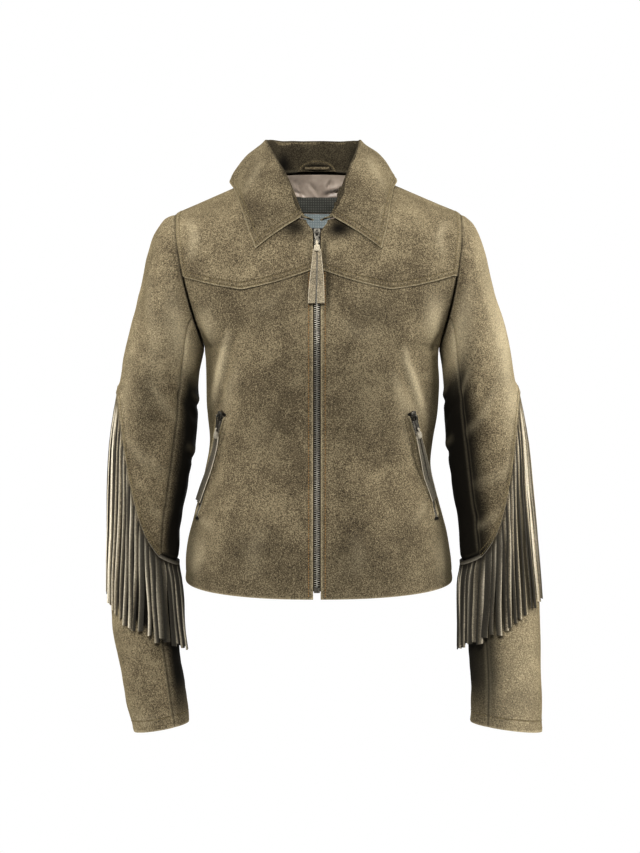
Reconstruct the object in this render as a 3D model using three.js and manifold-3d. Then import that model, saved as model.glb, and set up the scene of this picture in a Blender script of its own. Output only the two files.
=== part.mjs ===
import * as THREE from 'three';
import Module from 'manifold-3d';

// Cropped outdoor jacket with fringed sleeves, worn on a general figure.
// Millimetres, +Z up, the front faces -Y and +X is the wearer's left.
// Z = 0 is the height where the neck meets the shoulders.
const wasm = await Module();
wasm.setup();

const seam = 0.3;            // clear gap between sewn pieces
const suede = 1.6;           // wall of the cloth
const lap = 9;               // how far a yoke covers the front below it
const frontEdge = 4.6;       // each front stops this far from the centre line
const neckHalf = 78;
const neckPoint = { y: 4, z: 12 };
const neckFront = { y: -88, z: -51 };
const neckBack = { y: 66, z: 24 };
const neckTurn = 0.62;       // share of the upper front rows that ends on the centre line
const backNeck = 0.42;       // share of the back's top edge that is neckline
const armDepth = 64;         // half the armhole, front to back
const armBow = 6;

// Body below the armpit, from the hem up. left and right are half widths on each side of the
// centre line, front and back are depths, drop is how much lower the centre hangs.
const bodyRows = [
  { z: -500, left: 168, right: 173, front: 121, back: 114, drop: 18 },
  { z: -472, left: 167, right: 171, front: 118, back: 112, drop: 12 },
  { z: -443, left: 163, right: 166, front: 115, back: 108, drop: 6 },
  { z: -416, left: 156, right: 159, front: 112, back: 103, drop: 2 },
  { z: -385, left: 148, right: 151, front: 109, back: 97, drop: 0 },
  { z: -355, left: 140, right: 145, front: 107, back: 93, drop: 0 },
  { z: -324, left: 136, right: 148, front: 108, back: 91, drop: 0 },
  { z: -293, left: 139, right: 153, front: 111, back: 93, drop: 0 },
  { z: -262, left: 141, right: 155, front: 116, back: 97, drop: 0 },
  { z: -232, left: 142, right: 155, front: 121, back: 101, drop: 0 },
  { z: -206, left: 143, right: 155, front: 123, back: 104, drop: 0 },
];

// Centre front and centre back above the armpit.
const chestRows = [
  { z: -206, front: 123, back: 104 },
  { z: -160, front: 117, back: 106 },
  { z: -115, front: 107, back: 104 },
  { z: -80, front: 98, back: 97 },
  { z: -45, front: 86, back: 88 },
  { z: 24, front: 70, back: 66 },
];

// Sleeve rings from the armhole to the cuff. Each ring has an outer point and an inner point,
// half its depth, and how far it sits forward of the shoulder line.
const sleeveRows = [
  { outL: 181, outR: 184, outZ: -34, inL: 143, inR: 155, inZ: -206, deep: 64, forward: 0 },
  { outL: 199, outR: 200, outZ: -49, inL: 145.5, inR: 157.5, inZ: -213, deep: 66, forward: 0 },
  { outL: 214, outR: 212, outZ: -78, inL: 148, inR: 159.5, inZ: -226, deep: 66, forward: 0 },
  { outL: 225, outR: 223, outZ: -120, inL: 150, inR: 161, inZ: -242, deep: 65, forward: 1 },
  { outL: 235, outR: 236, outZ: -166, inL: 151.5, inR: 162, inZ: -260, deep: 63, forward: 2 },
  { outL: 245, outR: 247, outZ: -212, inL: 153, inR: 163, inZ: -284, deep: 61, forward: 3 },
  { outL: 253, outR: 256, outZ: -262, inL: 155, inR: 165, inZ: -314, deep: 59, forward: 4 },
  { outL: 261, outR: 266, outZ: -320, inL: 160, inR: 169, inZ: -352, deep: 56, forward: 6 },
  { outL: 264, outR: 272, outZ: -385, inL: 168, inR: 175, inZ: -402, deep: 52, forward: 8 },
  { outL: 264, outR: 277, outZ: -440, inL: 175, inR: 181, inZ: -450, deep: 50, forward: 12 },
  { outL: 264, outR: 281, outZ: -500, inL: 178, inR: 186, inZ: -505, deep: 49, forward: 18 },
  { outL: 258, outR: 284, outZ: -560, inL: 176, inR: 190, inZ: -562, deep: 47, forward: 25 },
  { outL: 247, outR: 284, outZ: -622, inL: 169, inR: 194, inZ: -618, deep: 44, forward: 32 },
  { outL: 231, outR: 284, outZ: -690, inL: 161, inR: 193, inZ: -678, deep: 41, forward: 40 },
];
const cuffRing = sleeveRows.length - 1;

// The fringe seam round the sleeve: angle from the outer side, and height.
const fringeSeam = [
  { angle: 0, z: -258 }, { angle: 25, z: -270 }, { angle: 45, z: -302 }, { angle: 58, z: -340 },
  { angle: 70, z: -380 }, { angle: 84, z: -416 }, { angle: 98, z: -442 }, { angle: 119, z: -464 },
  { angle: 150, z: -474 }, { angle: 180, z: -477 },
];
const fringe = { strands: 42, width: 6, share: 0.74, steps: 4, strip: 10, outerEnd: -512, innerEnd: -587 };

// The yoke's lower edge on each front, from the zip to the point and on to the armhole.
const yokeEdge = { zipZ: -114, pointX: 92, pointZ: -138, armZ: -119 };

// Collar, from the centre front (at 0) round to the centre back (at 1). The wearer's left side
// stands closer to the neck, by leftIn.
const collarRows = [
  { at: 0, rollX: 18, rollY: -92, rollZ: -45, edgeX: 75, edgeZ: -88, leftIn: -4 },
  { at: 0.2, rollX: 30, rollY: -82, rollZ: -15, edgeX: 87, edgeZ: -57, leftIn: 0 },
  { at: 0.35, rollX: 50, rollY: -56, rollZ: 26, edgeX: 97, edgeZ: -29, leftIn: 5 },
  { at: 0.5, rollX: 65, rollY: -10, rollZ: 57, edgeX: 107, edgeZ: 0, leftIn: 10 },
  { at: 0.65, rollX: 63, rollY: 28, rollZ: 64, edgeX: 99, edgeZ: 2, leftIn: 9 },
  { at: 0.82, rollX: 40, rollY: 62, rollZ: 67, edgeX: 62, edgeZ: 5, leftIn: 4 },
  { at: 1, rollX: 0, rollY: 74, rollZ: 68, edgeX: 0, edgeZ: 6, leftIn: 0 },
];
const collarWall = 2.4;
const rollRadius = 4.5;

const pocketLine = { topX: 116, topZ: -289, endX: 150, endZ: -424 };

const mixed = (a, b, t) => a + (b - a) * t;
const clamp = (v, lo, hi) => Math.min(hi, Math.max(lo, v));
const smooth = (a, b, v) => {
  const t = clamp((v - a) / (b - a), 0, 1);
  return t * t * (3 - 2 * t);
};

// A smooth curve through the rows of a table, read at a fractional row.
function readRow(rows, at, key) {
  const last = rows.length - 1;
  const i = clamp(Math.floor(at), 0, last - 1);
  const t = clamp(at, 0, last) - i;
  const p1 = rows[i][key];
  const p2 = rows[i + 1][key];
  const p0 = i > 0 ? rows[i - 1][key] : 2 * p1 - p2;
  const p3 = i + 2 <= last ? rows[i + 2][key] : 2 * p2 - p1;
  const a = (p2 - p0) / 2;
  const b = (p3 - p1) / 2;
  return p1 + a * t + (3 * (p2 - p1) - 2 * a - b) * t * t + (a + b - 2 * (p2 - p1)) * t * t * t;
}

// The fractional row at which a table's named column reaches a value.
function rowAt(rows, column, value) {
  const up = rows[rows.length - 1][column] > rows[0][column];
  for (let i = 0; i < rows.length - 1; i += 1) {
    const a = rows[i][column];
    const b = rows[i + 1][column];
    if ((value - a) * (value - b) <= 0 && a !== b) return i + (value - a) / (b - a);
  }
  return (value > rows[0][column]) === up ? rows.length - 1 : 0;
}

const point = (x, y, z) => new THREE.Vector3(x, y, z);
const faceOut = (a, b) => (a.dot(b) < 0 ? a.negate() : a);

// The armhole is the sleeve's first ring; angle 0 is the shoulder and 180 degrees the underarm.
function armhole(side, angle, facing) {
  const row = sleeveRows[0];
  const out = side < 0 ? row.outL : row.outR;
  const inside = side < 0 ? row.inL : row.inR;
  const c = Math.cos(angle);
  const s = Math.sin(angle);
  const x = (out + inside) / 2 + (out - inside) / 2 * c + armBow * s * s;
  const z = (row.outZ + row.inZ) / 2 + (row.outZ - row.inZ) / 2 * c;
  return point(side * x, facing * armDepth * Math.abs(s) ** 0.92, z);
}

// The neck seam on one side, from the centre (0) to the neck point (1).
function neckCurve(share, facing) {
  const top = facing < 0 ? neckFront : neckBack;
  const start = facing < 0 ? frontEdge : 0;
  const a = share * Math.PI / 2;
  const cos = Math.max(0, Math.cos(a));
  return point(start + (neckHalf - start) * Math.sin(a) ** 0.9,
    neckPoint.y + (top.y - neckPoint.y) * cos, mixed(neckPoint.z, top.z, cos ** 1.4));
}

function centreLine(v, facing) {
  const front = facing < 0;
  if (front && v > neckTurn) return neckCurve((v - neckTurn) / (1 - neckTurn), facing);
  const z = mixed(chestRows[0].z, front ? neckFront.z : neckBack.z, front ? v / neckTurn : v);
  const depth = readRow(chestRows, rowAt(chestRows, 'z', z), front ? 'front' : 'back');
  return point(front ? frontEdge : 0, facing * depth, z);
}

// Soft flutes of the body: where they lie (u, v), how wide, how long and how deep.
const bodyFolds = [
  { u: 0.2, v: -0.72, wide: 0.1, long: 0.34, deep: 3.4, facing: -1 },
  { u: 0.55, v: -0.8, wide: 0.1, long: 0.3, deep: 3.8, facing: -1 },
  { u: 0.66, v: -0.3, wide: 0.05, long: 0.28, deep: -3.2, facing: -1 },
  { u: 0.86, v: -0.16, wide: 0.08, long: 0.14, deep: -3, facing: -1 },
  { u: 0.2, v: -0.6, wide: 0.12, long: 0.4, deep: 3.6, facing: 1 },
  { u: 0.6, v: -0.75, wide: 0.12, long: 0.3, deep: 4, facing: 1 },
  { u: 0.4, v: -0.35, wide: 0.1, long: 0.26, deep: -3, facing: 1 },
  { u: 0.75, v: 0.2, wide: 0.1, long: 0.3, deep: -3, facing: 1 },
];

function foldDepth(u, v, facing) {
  let sum = 0;
  for (const f of bodyFolds) {
    if (f.facing !== facing) continue;
    const along = clamp(1 - ((v - f.v) / f.long) ** 2, 0, 1);
    sum += f.deep * along * along * Math.exp(-(((u - f.u) / f.wide) ** 2));
  }
  return sum * smooth(0, 0.12, u) * smooth(1, 0.9, u);
}

// The body's outer face. u runs from the centre to the side, v from the hem (-1) past the
// armpit (0) to the shoulder seam (1). facing is -1 for the front and 1 for the back.
function body(side, u, v, facing) {
  const swing = 0.91;
  if (v < 0) {
    const at = (v + 1) * (bodyRows.length - 1);
    const half = readRow(bodyRows, at, side < 0 ? 'left' : 'right');
    const depth = readRow(bodyRows, at, facing < 0 ? 'front' : 'back') + foldDepth(u, v, facing);
    const start = facing < 0 ? frontEdge : 0;
    const sin = Math.sin(u * Math.PI / 2) ** swing;
    const cos = Math.max(0, Math.cos(u * Math.PI / 2)) ** swing;
    const drop = readRow(bodyRows, at, 'drop') * (facing < 0 ? 1 : 0.5);
    return point(side * mixed(start, half, sin), facing * depth * cos,
      readRow(bodyRows, at, 'z') - drop * cos);
  }
  const inner = centreLine(v, facing);
  const outer = armhole(1, Math.PI * (1 - v), facing);
  const wide = Math.abs(armhole(side, Math.PI * (1 - v), facing).x);
  const reach = mixed(90, 56, smooth(0, 0.5, v)) * Math.PI / 180;
  const sin = (Math.sin(u * reach) / Math.sin(reach)) ** swing;
  const cos = Math.max(0, (Math.cos(u * reach) - Math.cos(reach)) / (1 - Math.cos(reach))) ** swing;
  const y = mixed(outer.y, inner.y, cos) + facing * foldDepth(u, v, facing);
  const p = point(side * mixed(inner.x, wide, sin), y, mixed(inner.z, outer.z, sin));
  if (facing > 0 && v > 0.3 && v < 1) {
    const pull = ((v - 0.3) / 0.7) ** 3.5;
    return p.addScaledVector(topOfBack(side, u).sub(body(side, u, 1, 1)), pull);
  }
  return p;
}

// The back's top edge: the neckline, then the shoulder seam that it shares with the front.
function topOfBack(side, u) {
  if (u > backNeck) return body(side, (u - backNeck) / (1 - backNeck), 1, -1);
  const p = neckCurve(u / backNeck, 1);
  p.x *= side;
  return p;
}

function sleeve(side, angle, t) {
  const read = (key) => readRow(sleeveRows, t, key);
  const out = read(side < 0 ? 'outL' : 'outR');
  const inside = read(side < 0 ? 'inL' : 'inR');
  const c = Math.cos(angle);
  const s = Math.sin(angle);
  const bow = armBow * clamp(1 - t / 3, 0, 1) * s * s;
  const squash = 0.92 + 0.04 * clamp(t / 4, 0, 1);
  const x = (out + inside) / 2 + (out - inside) / 2 * c + bow;
  const y = -Math.sign(s) * read('deep') * Math.abs(s) ** squash - read('forward');
  const z = mixed(read('outZ'), read('inZ'), (1 - c) / 2);
  const creases = sleeveCreases(angle, t);
  return point(side * (x + creases * c), y - creases * s, z);
}

// Creases that bending leaves at the elbow and under the arm.
const creaseRows = [
  { angle: 150, t: 5.2, tilt: 0.5, long: 45, wide: 0.22, deep: -3 },
  { angle: 110, t: 8.3, tilt: 0.4, long: 50, wide: 0.2, deep: -3.2 },
  { angle: 200, t: 7.2, tilt: -0.3, long: 45, wide: 0.22, deep: -2.6 },
  { angle: 60, t: 11.6, tilt: 0.5, long: 55, wide: 0.24, deep: -2.2 },
];

function sleeveCreases(angle, t) {
  let sum = 0;
  for (const row of creaseRows) {
    const turn = ((angle * 180 / Math.PI - row.angle + 540) % 360) - 180;
    const along = clamp(1 - (turn / row.long) ** 2, 0, 1);
    const off = t - row.t - row.tilt * turn / 50;
    sum += row.deep * along * along * Math.exp(-((off / row.wide) ** 2));
  }
  return sum * smooth(0.4, 1.4, t);
}

// A grid of outer points and the matching inner points become one closed wall.
function wallBetween(outer, inner, closed = false) {
  const rows = outer.length;
  const cols = outer[0].length;
  const positions = [];
  for (const grid of [outer, inner]) {
    for (const row of grid) for (const p of row) positions.push(p.x, p.y, p.z);
  }
  const id = (face, i, j) => face * rows * cols + i * cols + (closed ? j % cols : j);
  const index = [];
  const quad = (a, b, c, d) => index.push(a, b, c, a, c, d);
  const spans = closed ? cols : cols - 1;
  for (let i = 0; i < rows - 1; i += 1) {
    for (let j = 0; j < spans; j += 1) {
      quad(id(0, i, j), id(0, i, j + 1), id(0, i + 1, j + 1), id(0, i + 1, j));
      quad(id(1, i, j), id(1, i + 1, j), id(1, i + 1, j + 1), id(1, i, j + 1));
    }
    if (!closed) {
      quad(id(0, i, 0), id(0, i + 1, 0), id(1, i + 1, 0), id(1, i, 0));
      quad(id(0, i, cols - 1), id(1, i, cols - 1), id(1, i + 1, cols - 1), id(0, i + 1, cols - 1));
    }
  }
  for (let j = 0; j < spans; j += 1) {
    quad(id(0, 0, j), id(1, 0, j), id(1, 0, j + 1), id(0, 0, j + 1));
    const k = rows - 1;
    quad(id(0, k, j), id(0, k, j + 1), id(1, k, j + 1), id(1, k, j));
  }
  return facingOut(positions, index);
}

function facingOut(positions, index) {
  const at = (k) => point(positions[3 * k], positions[3 * k + 1], positions[3 * k + 2]);
  let volume = 0;
  for (let i = 0; i < index.length; i += 3) {
    volume += at(index[i]).dot(at(index[i + 1]).cross(at(index[i + 2])));
  }
  if (volume < 0) {
    for (let i = 0; i < index.length; i += 3) [index[i], index[i + 1]] = [index[i + 1], index[i]];
  }
  const geometry = new THREE.BufferGeometry();
  geometry.setAttribute('position', new THREE.Float32BufferAttribute(positions, 3));
  geometry.setIndex(index);
  geometry.computeVertexNormals();
  return geometry;
}

function surfaceNormal(surface, u, v, away) {
  const h = 0.004;
  const du = surface(clamp(u + h, surface.u0 ?? 0, surface.u1 ?? 1), v)
    .sub(surface(clamp(u - h, surface.u0 ?? 0, surface.u1 ?? 1), v));
  const dv = surface(u, clamp(v + h, surface.v0 ?? -1, surface.v1 ?? 1))
    .sub(surface(u, clamp(v - h, surface.v0 ?? -1, surface.v1 ?? 1)));
  return faceOut(du.cross(dv).normalize(), away);
}

function bodyNormal(side, u, v, facing) {
  const surface = (a, b) => body(side, a, b, facing);
  const p = body(side, u, v, facing);
  const away = point(p.x * 0.35, p.y, v > 0 ? 40 * v : 0);
  return surfaceNormal(surface, clamp(u, 0.006, 0.994), clamp(v, -0.994, 0.992), away);
}

function sleeveNormal(side, angle, t) {
  const surface = (a, b) => sleeve(side, a, b);
  surface.u0 = -10;
  surface.u1 = 10;
  surface.v0 = 0;
  surface.v1 = cuffRing;
  const c = sleeve(side, angle, t).sub(sleeve(side, angle + Math.PI, t));
  return surfaceNormal(surface, angle, t, c);
}

// Both sides of a seam share the direction of their end walls, so that the walls stay apart.
function sharedNormal(own, other) {
  return own.clone().add(other).multiplyScalar(0.5).addScaledVector(own, 0.25).normalize();
}

function bodyInward(side, u, v, facing) {
  const own = bodyNormal(side, u, v, facing);
  let n = own;
  if (v > 0 && u > 0.9) {
    const angle = Math.PI * (1 - v) * (facing < 0 ? 1 : -1);
    const joined = sharedNormal(own, sleeveNormal(side, angle, 0.05));
    n = own.clone().lerp(joined, smooth(0.9, 0.99, u)).normalize();
  }
  if (v > 0.88 && (facing < 0 || u > backNeck - 0.05)) {
    const across = facing < 0 ? mixed(backNeck, 1, u) : (u - backNeck) / (1 - backNeck);
    const other = bodyNormal(side, clamp(across, 0.01, 1), 0.99, -facing);
    const joined = own.clone().add(other).normalize();
    n = n.clone().lerp(joined, smooth(0.88, 0.998, v)).normalize();
  }
  return n.negate();
}

function bodyPanel(side, facing, us, rowOf, rows, lift = 0, liftFade = null) {
  const outer = [];
  const inner = [];
  for (let i = 0; i <= rows; i += 1) {
    const a = [];
    const b = [];
    for (const u of us) {
      const s = side || Math.sign(u) || 1;
      const v = rowOf(i / rows, Math.abs(u));
      const p = body(s, Math.abs(u), v, facing);
      const inward = bodyInward(s, Math.abs(u), v, facing);
      const up = liftFade ? lift * liftFade(i / rows) : lift;
      a.push(p.clone().addScaledVector(inward, -up));
      b.push(p.clone().addScaledVector(inward, suede - up));
    }
    outer.push(a);
    inner.push(b);
  }
  return wallBetween(outer, inner);
}

function yokeHeight(x) {
  const out = Math.abs(x);
  if (out < yokeEdge.pointX) {
    const t = (out - frontEdge) / (yokeEdge.pointX - frontEdge);
    return mixed(yokeEdge.zipZ, yokeEdge.pointZ, t) - 2.5 * Math.sin(Math.PI * t);
  }
  const t = clamp((out - yokeEdge.pointX) / (169 - yokeEdge.pointX), 0, 1);
  return mixed(yokeEdge.pointZ, yokeEdge.armZ, t) - 2 * Math.sin(Math.PI * t);
}

function yokeRow(side, u, below = 0) {
  let low = 0;
  let high = 0.9;
  for (let k = 0; k < 30; k += 1) {
    const middle = (low + high) / 2;
    const p = body(side, u, middle, -1);
    if (p.z < yokeHeight(p.x) - below) low = middle;
    else high = middle;
  }
  return (low + high) / 2;
}

// The column whose row passes through the yoke's point.
function yokeColumn(side) {
  let low = 0.2;
  let high = 0.8;
  for (let k = 0; k < 24; k += 1) {
    const middle = (low + high) / 2;
    const x = Math.abs(body(side, middle, yokeRow(side, middle), -1).x);
    if (x < yokeEdge.pointX) low = middle;
    else high = middle;
  }
  return (low + high) / 2;
}

function columnsThrough(peak, before, after, end = 0.998) {
  const list = [];
  for (let j = 0; j <= before; j += 1) list.push(peak * j / before);
  for (let j = 1; j <= after; j += 1) list.push(mixed(peak, end, (j / after) ** 0.9));
  return list;
}

function frontPanel(side) {
  const us = columnsThrough(yokeColumn(side), 6, 6);
  const lowerShare = 14 / 18;
  const rowOf = (s, u) => {
    const top = yokeRow(side, u, -lap);
    if (s <= lowerShare) return mixed(-1, 0, s / lowerShare);
    return mixed(0, top, (s - lowerShare) / (1 - lowerShare));
  };
  return bodyPanel(side, -1, us.map((u) => Math.min(u, 0.9993)), rowOf, 18);
}

function yokePanel(side) {
  const us = columnsThrough(yokeColumn(side), 6, 5, 0.993);
  const rowOf = (s, u) => mixed(yokeRow(side, u), 0.9993, s);
  return bodyPanel(side, -1, us, rowOf, 9, suede + seam, (s) => 1 - smooth(0.3, 0.8, s));
}

function backPanel() {
  const us = [];
  for (let j = -8; j <= 8; j += 1) {
    const t = Math.abs(j);
    const u = t <= 3 ? backNeck * t / 3 : mixed(backNeck, 0.9993, (t - 3) / 5);
    us.push(Math.sign(j) * u);
  }
  const stops = [-1, -0.9, -0.8, -0.7, -0.6, -0.48, -0.36, -0.24, -0.12, 0,
    0.14, 0.32, 0.52, 0.7, 0.82, 0.9, 0.95, 0.9997];
  const rowOf = (s) => stops[Math.round(s * (stops.length - 1))];
  return bodyPanel(0, 1, us, rowOf, stops.length - 1);
}

function fringeHeight(angle) {
  let a = Math.abs(angle * 180 / Math.PI) % 360;
  if (a > 180) a = 360 - a;
  return readRow(fringeSeam, rowAt(fringeSeam, 'angle', a), 'z');
}

function fringeRing(side, angle, below = 0) {
  let low = 3;
  let high = cuffRing;
  for (let k = 0; k < 30; k += 1) {
    const middle = (low + high) / 2;
    if (sleeve(side, angle, middle).z > fringeHeight(angle) - below) low = middle;
    else high = middle;
  }
  return (low + high) / 2;
}

function sleevePanel(side, from, to, columns, rowOf, rows, out = 0, wall = suede) {
  const outer = [];
  const inner = [];
  const gap = 0.15 / 52;
  for (let i = 0; i <= rows; i += 1) {
    const a = [];
    const b = [];
    for (let j = 0; j <= columns; j += 1) {
      const angle = mixed(from * Math.PI / 180 + gap, to * Math.PI / 180 - gap, j / columns);
      const t = rowOf(i / rows, angle);
      let n = sleeveNormal(side, angle, Math.max(t, 0.02));
      if (t < 0.6) {
        const turn = Math.abs(Math.atan2(Math.sin(angle), Math.cos(angle)));
        const facing = Math.sin(angle) >= 0 ? -1 : 1;
        const joined = sharedNormal(n, bodyNormal(side, 0.99, 1 - turn / Math.PI, facing));
        n = n.clone().lerp(joined, smooth(0.6, 0.1, t)).normalize();
      }
      const p = sleeve(side, angle, t);
      a.push(p.clone().addScaledVector(n, out));
      b.push(p.clone().addScaledVector(n, out - wall));
    }
    outer.push(a);
    inner.push(b);
  }
  return wallBetween(outer, inner);
}

const seamAngle = 125;       // where the two-piece sleeve's seams run, from the outer side

function upperSleeve(side, part) {
  const rowOf = (s, angle) => mixed(0.035, fringeRing(side, angle, -3 * seam), s ** 1.05);
  if (part === 'top') return sleevePanel(side, -seamAngle, seamAngle, 16, rowOf, 9);
  return sleevePanel(side, seamAngle, 360 - seamAngle, 6, rowOf, 9);
}

function lowerSleeve(side, part) {
  const rowOf = (s, angle) => mixed(fringeRing(side, angle, 0), cuffRing, s);
  if (part === 'top') return sleevePanel(side, -seamAngle, seamAngle, 16, rowOf, 7);
  return sleevePanel(side, seamAngle, 360 - seamAngle, 6, rowOf, 7);
}

function toManifold(geometry) {
  const triVerts = Uint32Array.from(geometry.index.array);
  const vertProperties = Float32Array.from(geometry.attributes.position.array);
  const mesh = new wasm.Mesh({ numProp: 3, vertProperties, triVerts });
  return new wasm.Manifold(mesh);
}

function fromManifold(solid) {
  const mesh = solid.getMesh();
  const geometry = new THREE.BufferGeometry();
  const positions = [];
  for (let i = 0; i < mesh.numVert; i += 1) {
    for (let k = 0; k < 3; k += 1) positions.push(mesh.vertProperties[i * mesh.numProp + k]);
  }
  geometry.setAttribute('position', new THREE.Float32BufferAttribute(positions, 3));
  geometry.setIndex(Array.from(mesh.triVerts));
  geometry.computeVertexNormals();
  return geometry;
}

function joinAll(solids) {
  let total = solids[0];
  for (const solid of solids.slice(1)) total = total.add(solid);
  return total;
}

// A flat strand through points, with its width along a given direction at each point.
function ribbon(points, acrosses, outs, width, thick) {
  const outer = [];
  const inner = [];
  points.forEach((p, i) => {
    const half = acrosses[i].clone().multiplyScalar(width / 2);
    const depth = outs[i].clone().multiplyScalar(thick);
    const low = p.clone().sub(half);
    const high = p.clone().add(half);
    inner.push([low, high]);
    outer.push([low.clone().add(depth), high.clone().add(depth)]);
  });
  return wallBetween(outer, inner);
}

// A fixed sequence of small differences, so that strands aren't all alike.
const wobble = (k, seed) => {
  const v = Math.sin(k * 12.9898 + seed * 78.233) * 43758.5453;
  return v - Math.floor(v) - 0.5;
};

function sleeveAtHeight(side, z) {
  const tOut = rowAt(sleeveRows, 'outZ', z);
  const tIn = rowAt(sleeveRows, 'inZ', z);
  const out = readRow(sleeveRows, tOut, side < 0 ? 'outL' : 'outR');
  const inside = readRow(sleeveRows, tIn, side < 0 ? 'inL' : 'inR');
  const middle = (tOut + tIn) / 2;
  return { x: side * (out + inside) / 2, y: -readRow(sleeveRows, middle, 'forward'),
    a: (out - inside) / 2, b: readRow(sleeveRows, middle, 'deep') };
}

// One strand's path below the strip: middle points with their outward directions.
function strandLine(side, root, out, k, end) {
  const list = [];
  let { x, y } = root;
  for (let i = 1; i <= fringe.steps; i += 1) {
    const z = mixed(root.z, end, i / fringe.steps);
    const at = sleeveAtHeight(side, z);
    const clear = 1.6 + 1.4 * (k % 2);
    const reach = Math.hypot((x - at.x) / (at.a + clear), (y - at.y) / (at.b + clear));
    if (reach < 1) {
      x = at.x + (x - at.x) / reach;
      y = at.y + (y - at.y) / reach;
    }
    const yaw = 0.5 * wobble(k, 2) * (i / fringe.steps);
    list.push({ p: point(x, y, z), out: out.clone().applyAxisAngle(point(0, 0, 1), yaw) });
  }
  return list;
}

// The fringe is one piece of leather: a strip round the sleeve, cut into strands below.
function fringePiece(side) {
  const positions = [];
  const index = [];
  const put = (p) => positions.push(p.x, p.y, p.z) / 3 - 1;
  const quad = (a, b, c, d) => index.push(a, b, c, a, c, d);
  const tube = (a, b) => a.forEach((corner, i) => {
    const next = (i + 1) % 4;
    quad(corner, b[i], b[next], a[next]);
  });
  const pitch = 2 * Math.PI / fringe.strands;
  const stations = [];
  for (let j = 0; j < fringe.strands * 2; j += 1) {
    const angle = (Math.floor(j / 2) + 0.5 + (j % 2 - 0.5) * fringe.share) * pitch;
    const station = { angle };
    for (const [key, below] of [['top', seam], ['low', fringe.strip]]) {
      const t = fringeRing(side, angle, below);
      const n = sleeveNormal(side, angle, t);
      const p = sleeve(side, angle, t).addScaledVector(n, 3 * seam);
      station[key] = p;
      station.out = n;
      station[`${key}In`] = put(p);
      station[`${key}Out`] = put(p.clone().addScaledVector(n, suede));
    }
    stations.push(station);
  }
  stations.forEach((a, j) => {
    const b = stations[(j + 1) % stations.length];
    quad(a.topOut, b.topOut, b.lowOut, a.lowOut);
    quad(a.topIn, a.lowIn, b.lowIn, b.topIn);
    quad(a.topIn, b.topIn, b.topOut, a.topOut);
    if (j % 2 === 1) quad(a.lowIn, a.lowOut, b.lowOut, b.lowIn);
  });
  for (let k = 0; k < fringe.strands; k += 1) {
    const a = stations[2 * k];
    const b = stations[2 * k + 1];
    const root = a.low.clone().add(b.low).multiplyScalar(0.5);
    const out = a.out.clone().add(b.out).setZ(0).normalize();
    const around = (1 - Math.cos((a.angle + b.angle) / 2)) / 2;
    const end = mixed(fringe.outerEnd, fringe.innerEnd, Math.sqrt(around)) + 10 * wobble(k, 1);
    const across = b.low.clone().sub(a.low).setZ(0).normalize();
    let ring = [a.lowIn, b.lowIn, b.lowOut, a.lowOut];
    for (const { p, out: facing } of strandLine(side, root, out, k, end)) {
      const wide = point(-facing.y, facing.x, 0);
      if (wide.dot(across) < 0) wide.negate();
      wide.multiplyScalar(fringe.width / 2);
      const thick = facing.clone().multiplyScalar(suede);
      const next = [p.clone().sub(wide), p.clone().add(wide), p.clone().add(wide).add(thick),
        p.clone().sub(wide).add(thick)].map(put);
      tube(ring, next);
      ring = next;
    }
    quad(ring[3], ring[2], ring[1], ring[0]);
  }
  return facingOut(positions, index);
}

// The point of a body face seen at a given x and z, found by stepping towards it.
function onBody(x, z, facing) {
  const side = Math.sign(x) || 1;
  let u = clamp(Math.abs(x) / 170, 0.02, 0.9);
  let v = z > -206 ? clamp((z + 206) / 260, 0.02, 0.9) : clamp((z + 206) / 300, -0.95, -0.02);
  for (let k = 0; k < 40; k += 1) {
    const p = body(side, u, v, facing);
    const h = 1e-3;
    const pu = body(side, u + h, v, facing).sub(p).multiplyScalar(1 / h);
    const pv = body(side, u, v + h, facing).sub(p).multiplyScalar(1 / h);
    const det = pu.x * pv.z - pv.x * pu.z;
    const dx = x - p.x;
    const dz = z - p.z;
    u = clamp(u + 0.8 * (dx * pv.z - dz * pv.x) / det, 0, 0.999);
    v = clamp(v + 0.8 * (dz * pu.x - dx * pu.z) / det, -0.999, 0.999);
  }
  return { p: body(side, u, v, facing), n: bodyInward(side, u, v, facing).negate() };
}

// Neck seam, from the centre front (0) over the neck point (0.5) to the centre back (1).
const neckSeam = (k) => (k < 0.5 ? neckCurve(k * 2, -1) : neckCurve((1 - k) * 2, 1));

function collarEdge(side, k) {
  const at = rowAt(collarRows, 'at', k);
  const x = readRow(collarRows, at, 'edgeX') - (side > 0 ? readRow(collarRows, at, 'leftIn') : 0);
  const z = readRow(collarRows, at, 'edgeZ');
  const lifted = collarWall + 1.4;
  if (k < 0.46) {
    const { p, n } = onBody(side * Math.max(x, 0.5), z, -1);
    return p.addScaledVector(n, lifted + (suede + seam) * smooth(-40, -100, z));
  }
  if (k > 0.58) {
    const { p, n } = onBody(side * Math.max(x, 0.5), z, 1);
    p.x = side * x;
    return p.addScaledVector(n, lifted + 3);
  }
  const a = collarEdge(side, 0.455);
  const b = collarEdge(side, 0.585);
  const t = (k - 0.455) / 0.13;
  const p = a.lerp(b, t);
  p.x += side * 5 * Math.sin(Math.PI * t);
  p.z += 5 * Math.sin(Math.PI * t);
  return p;
}

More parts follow.
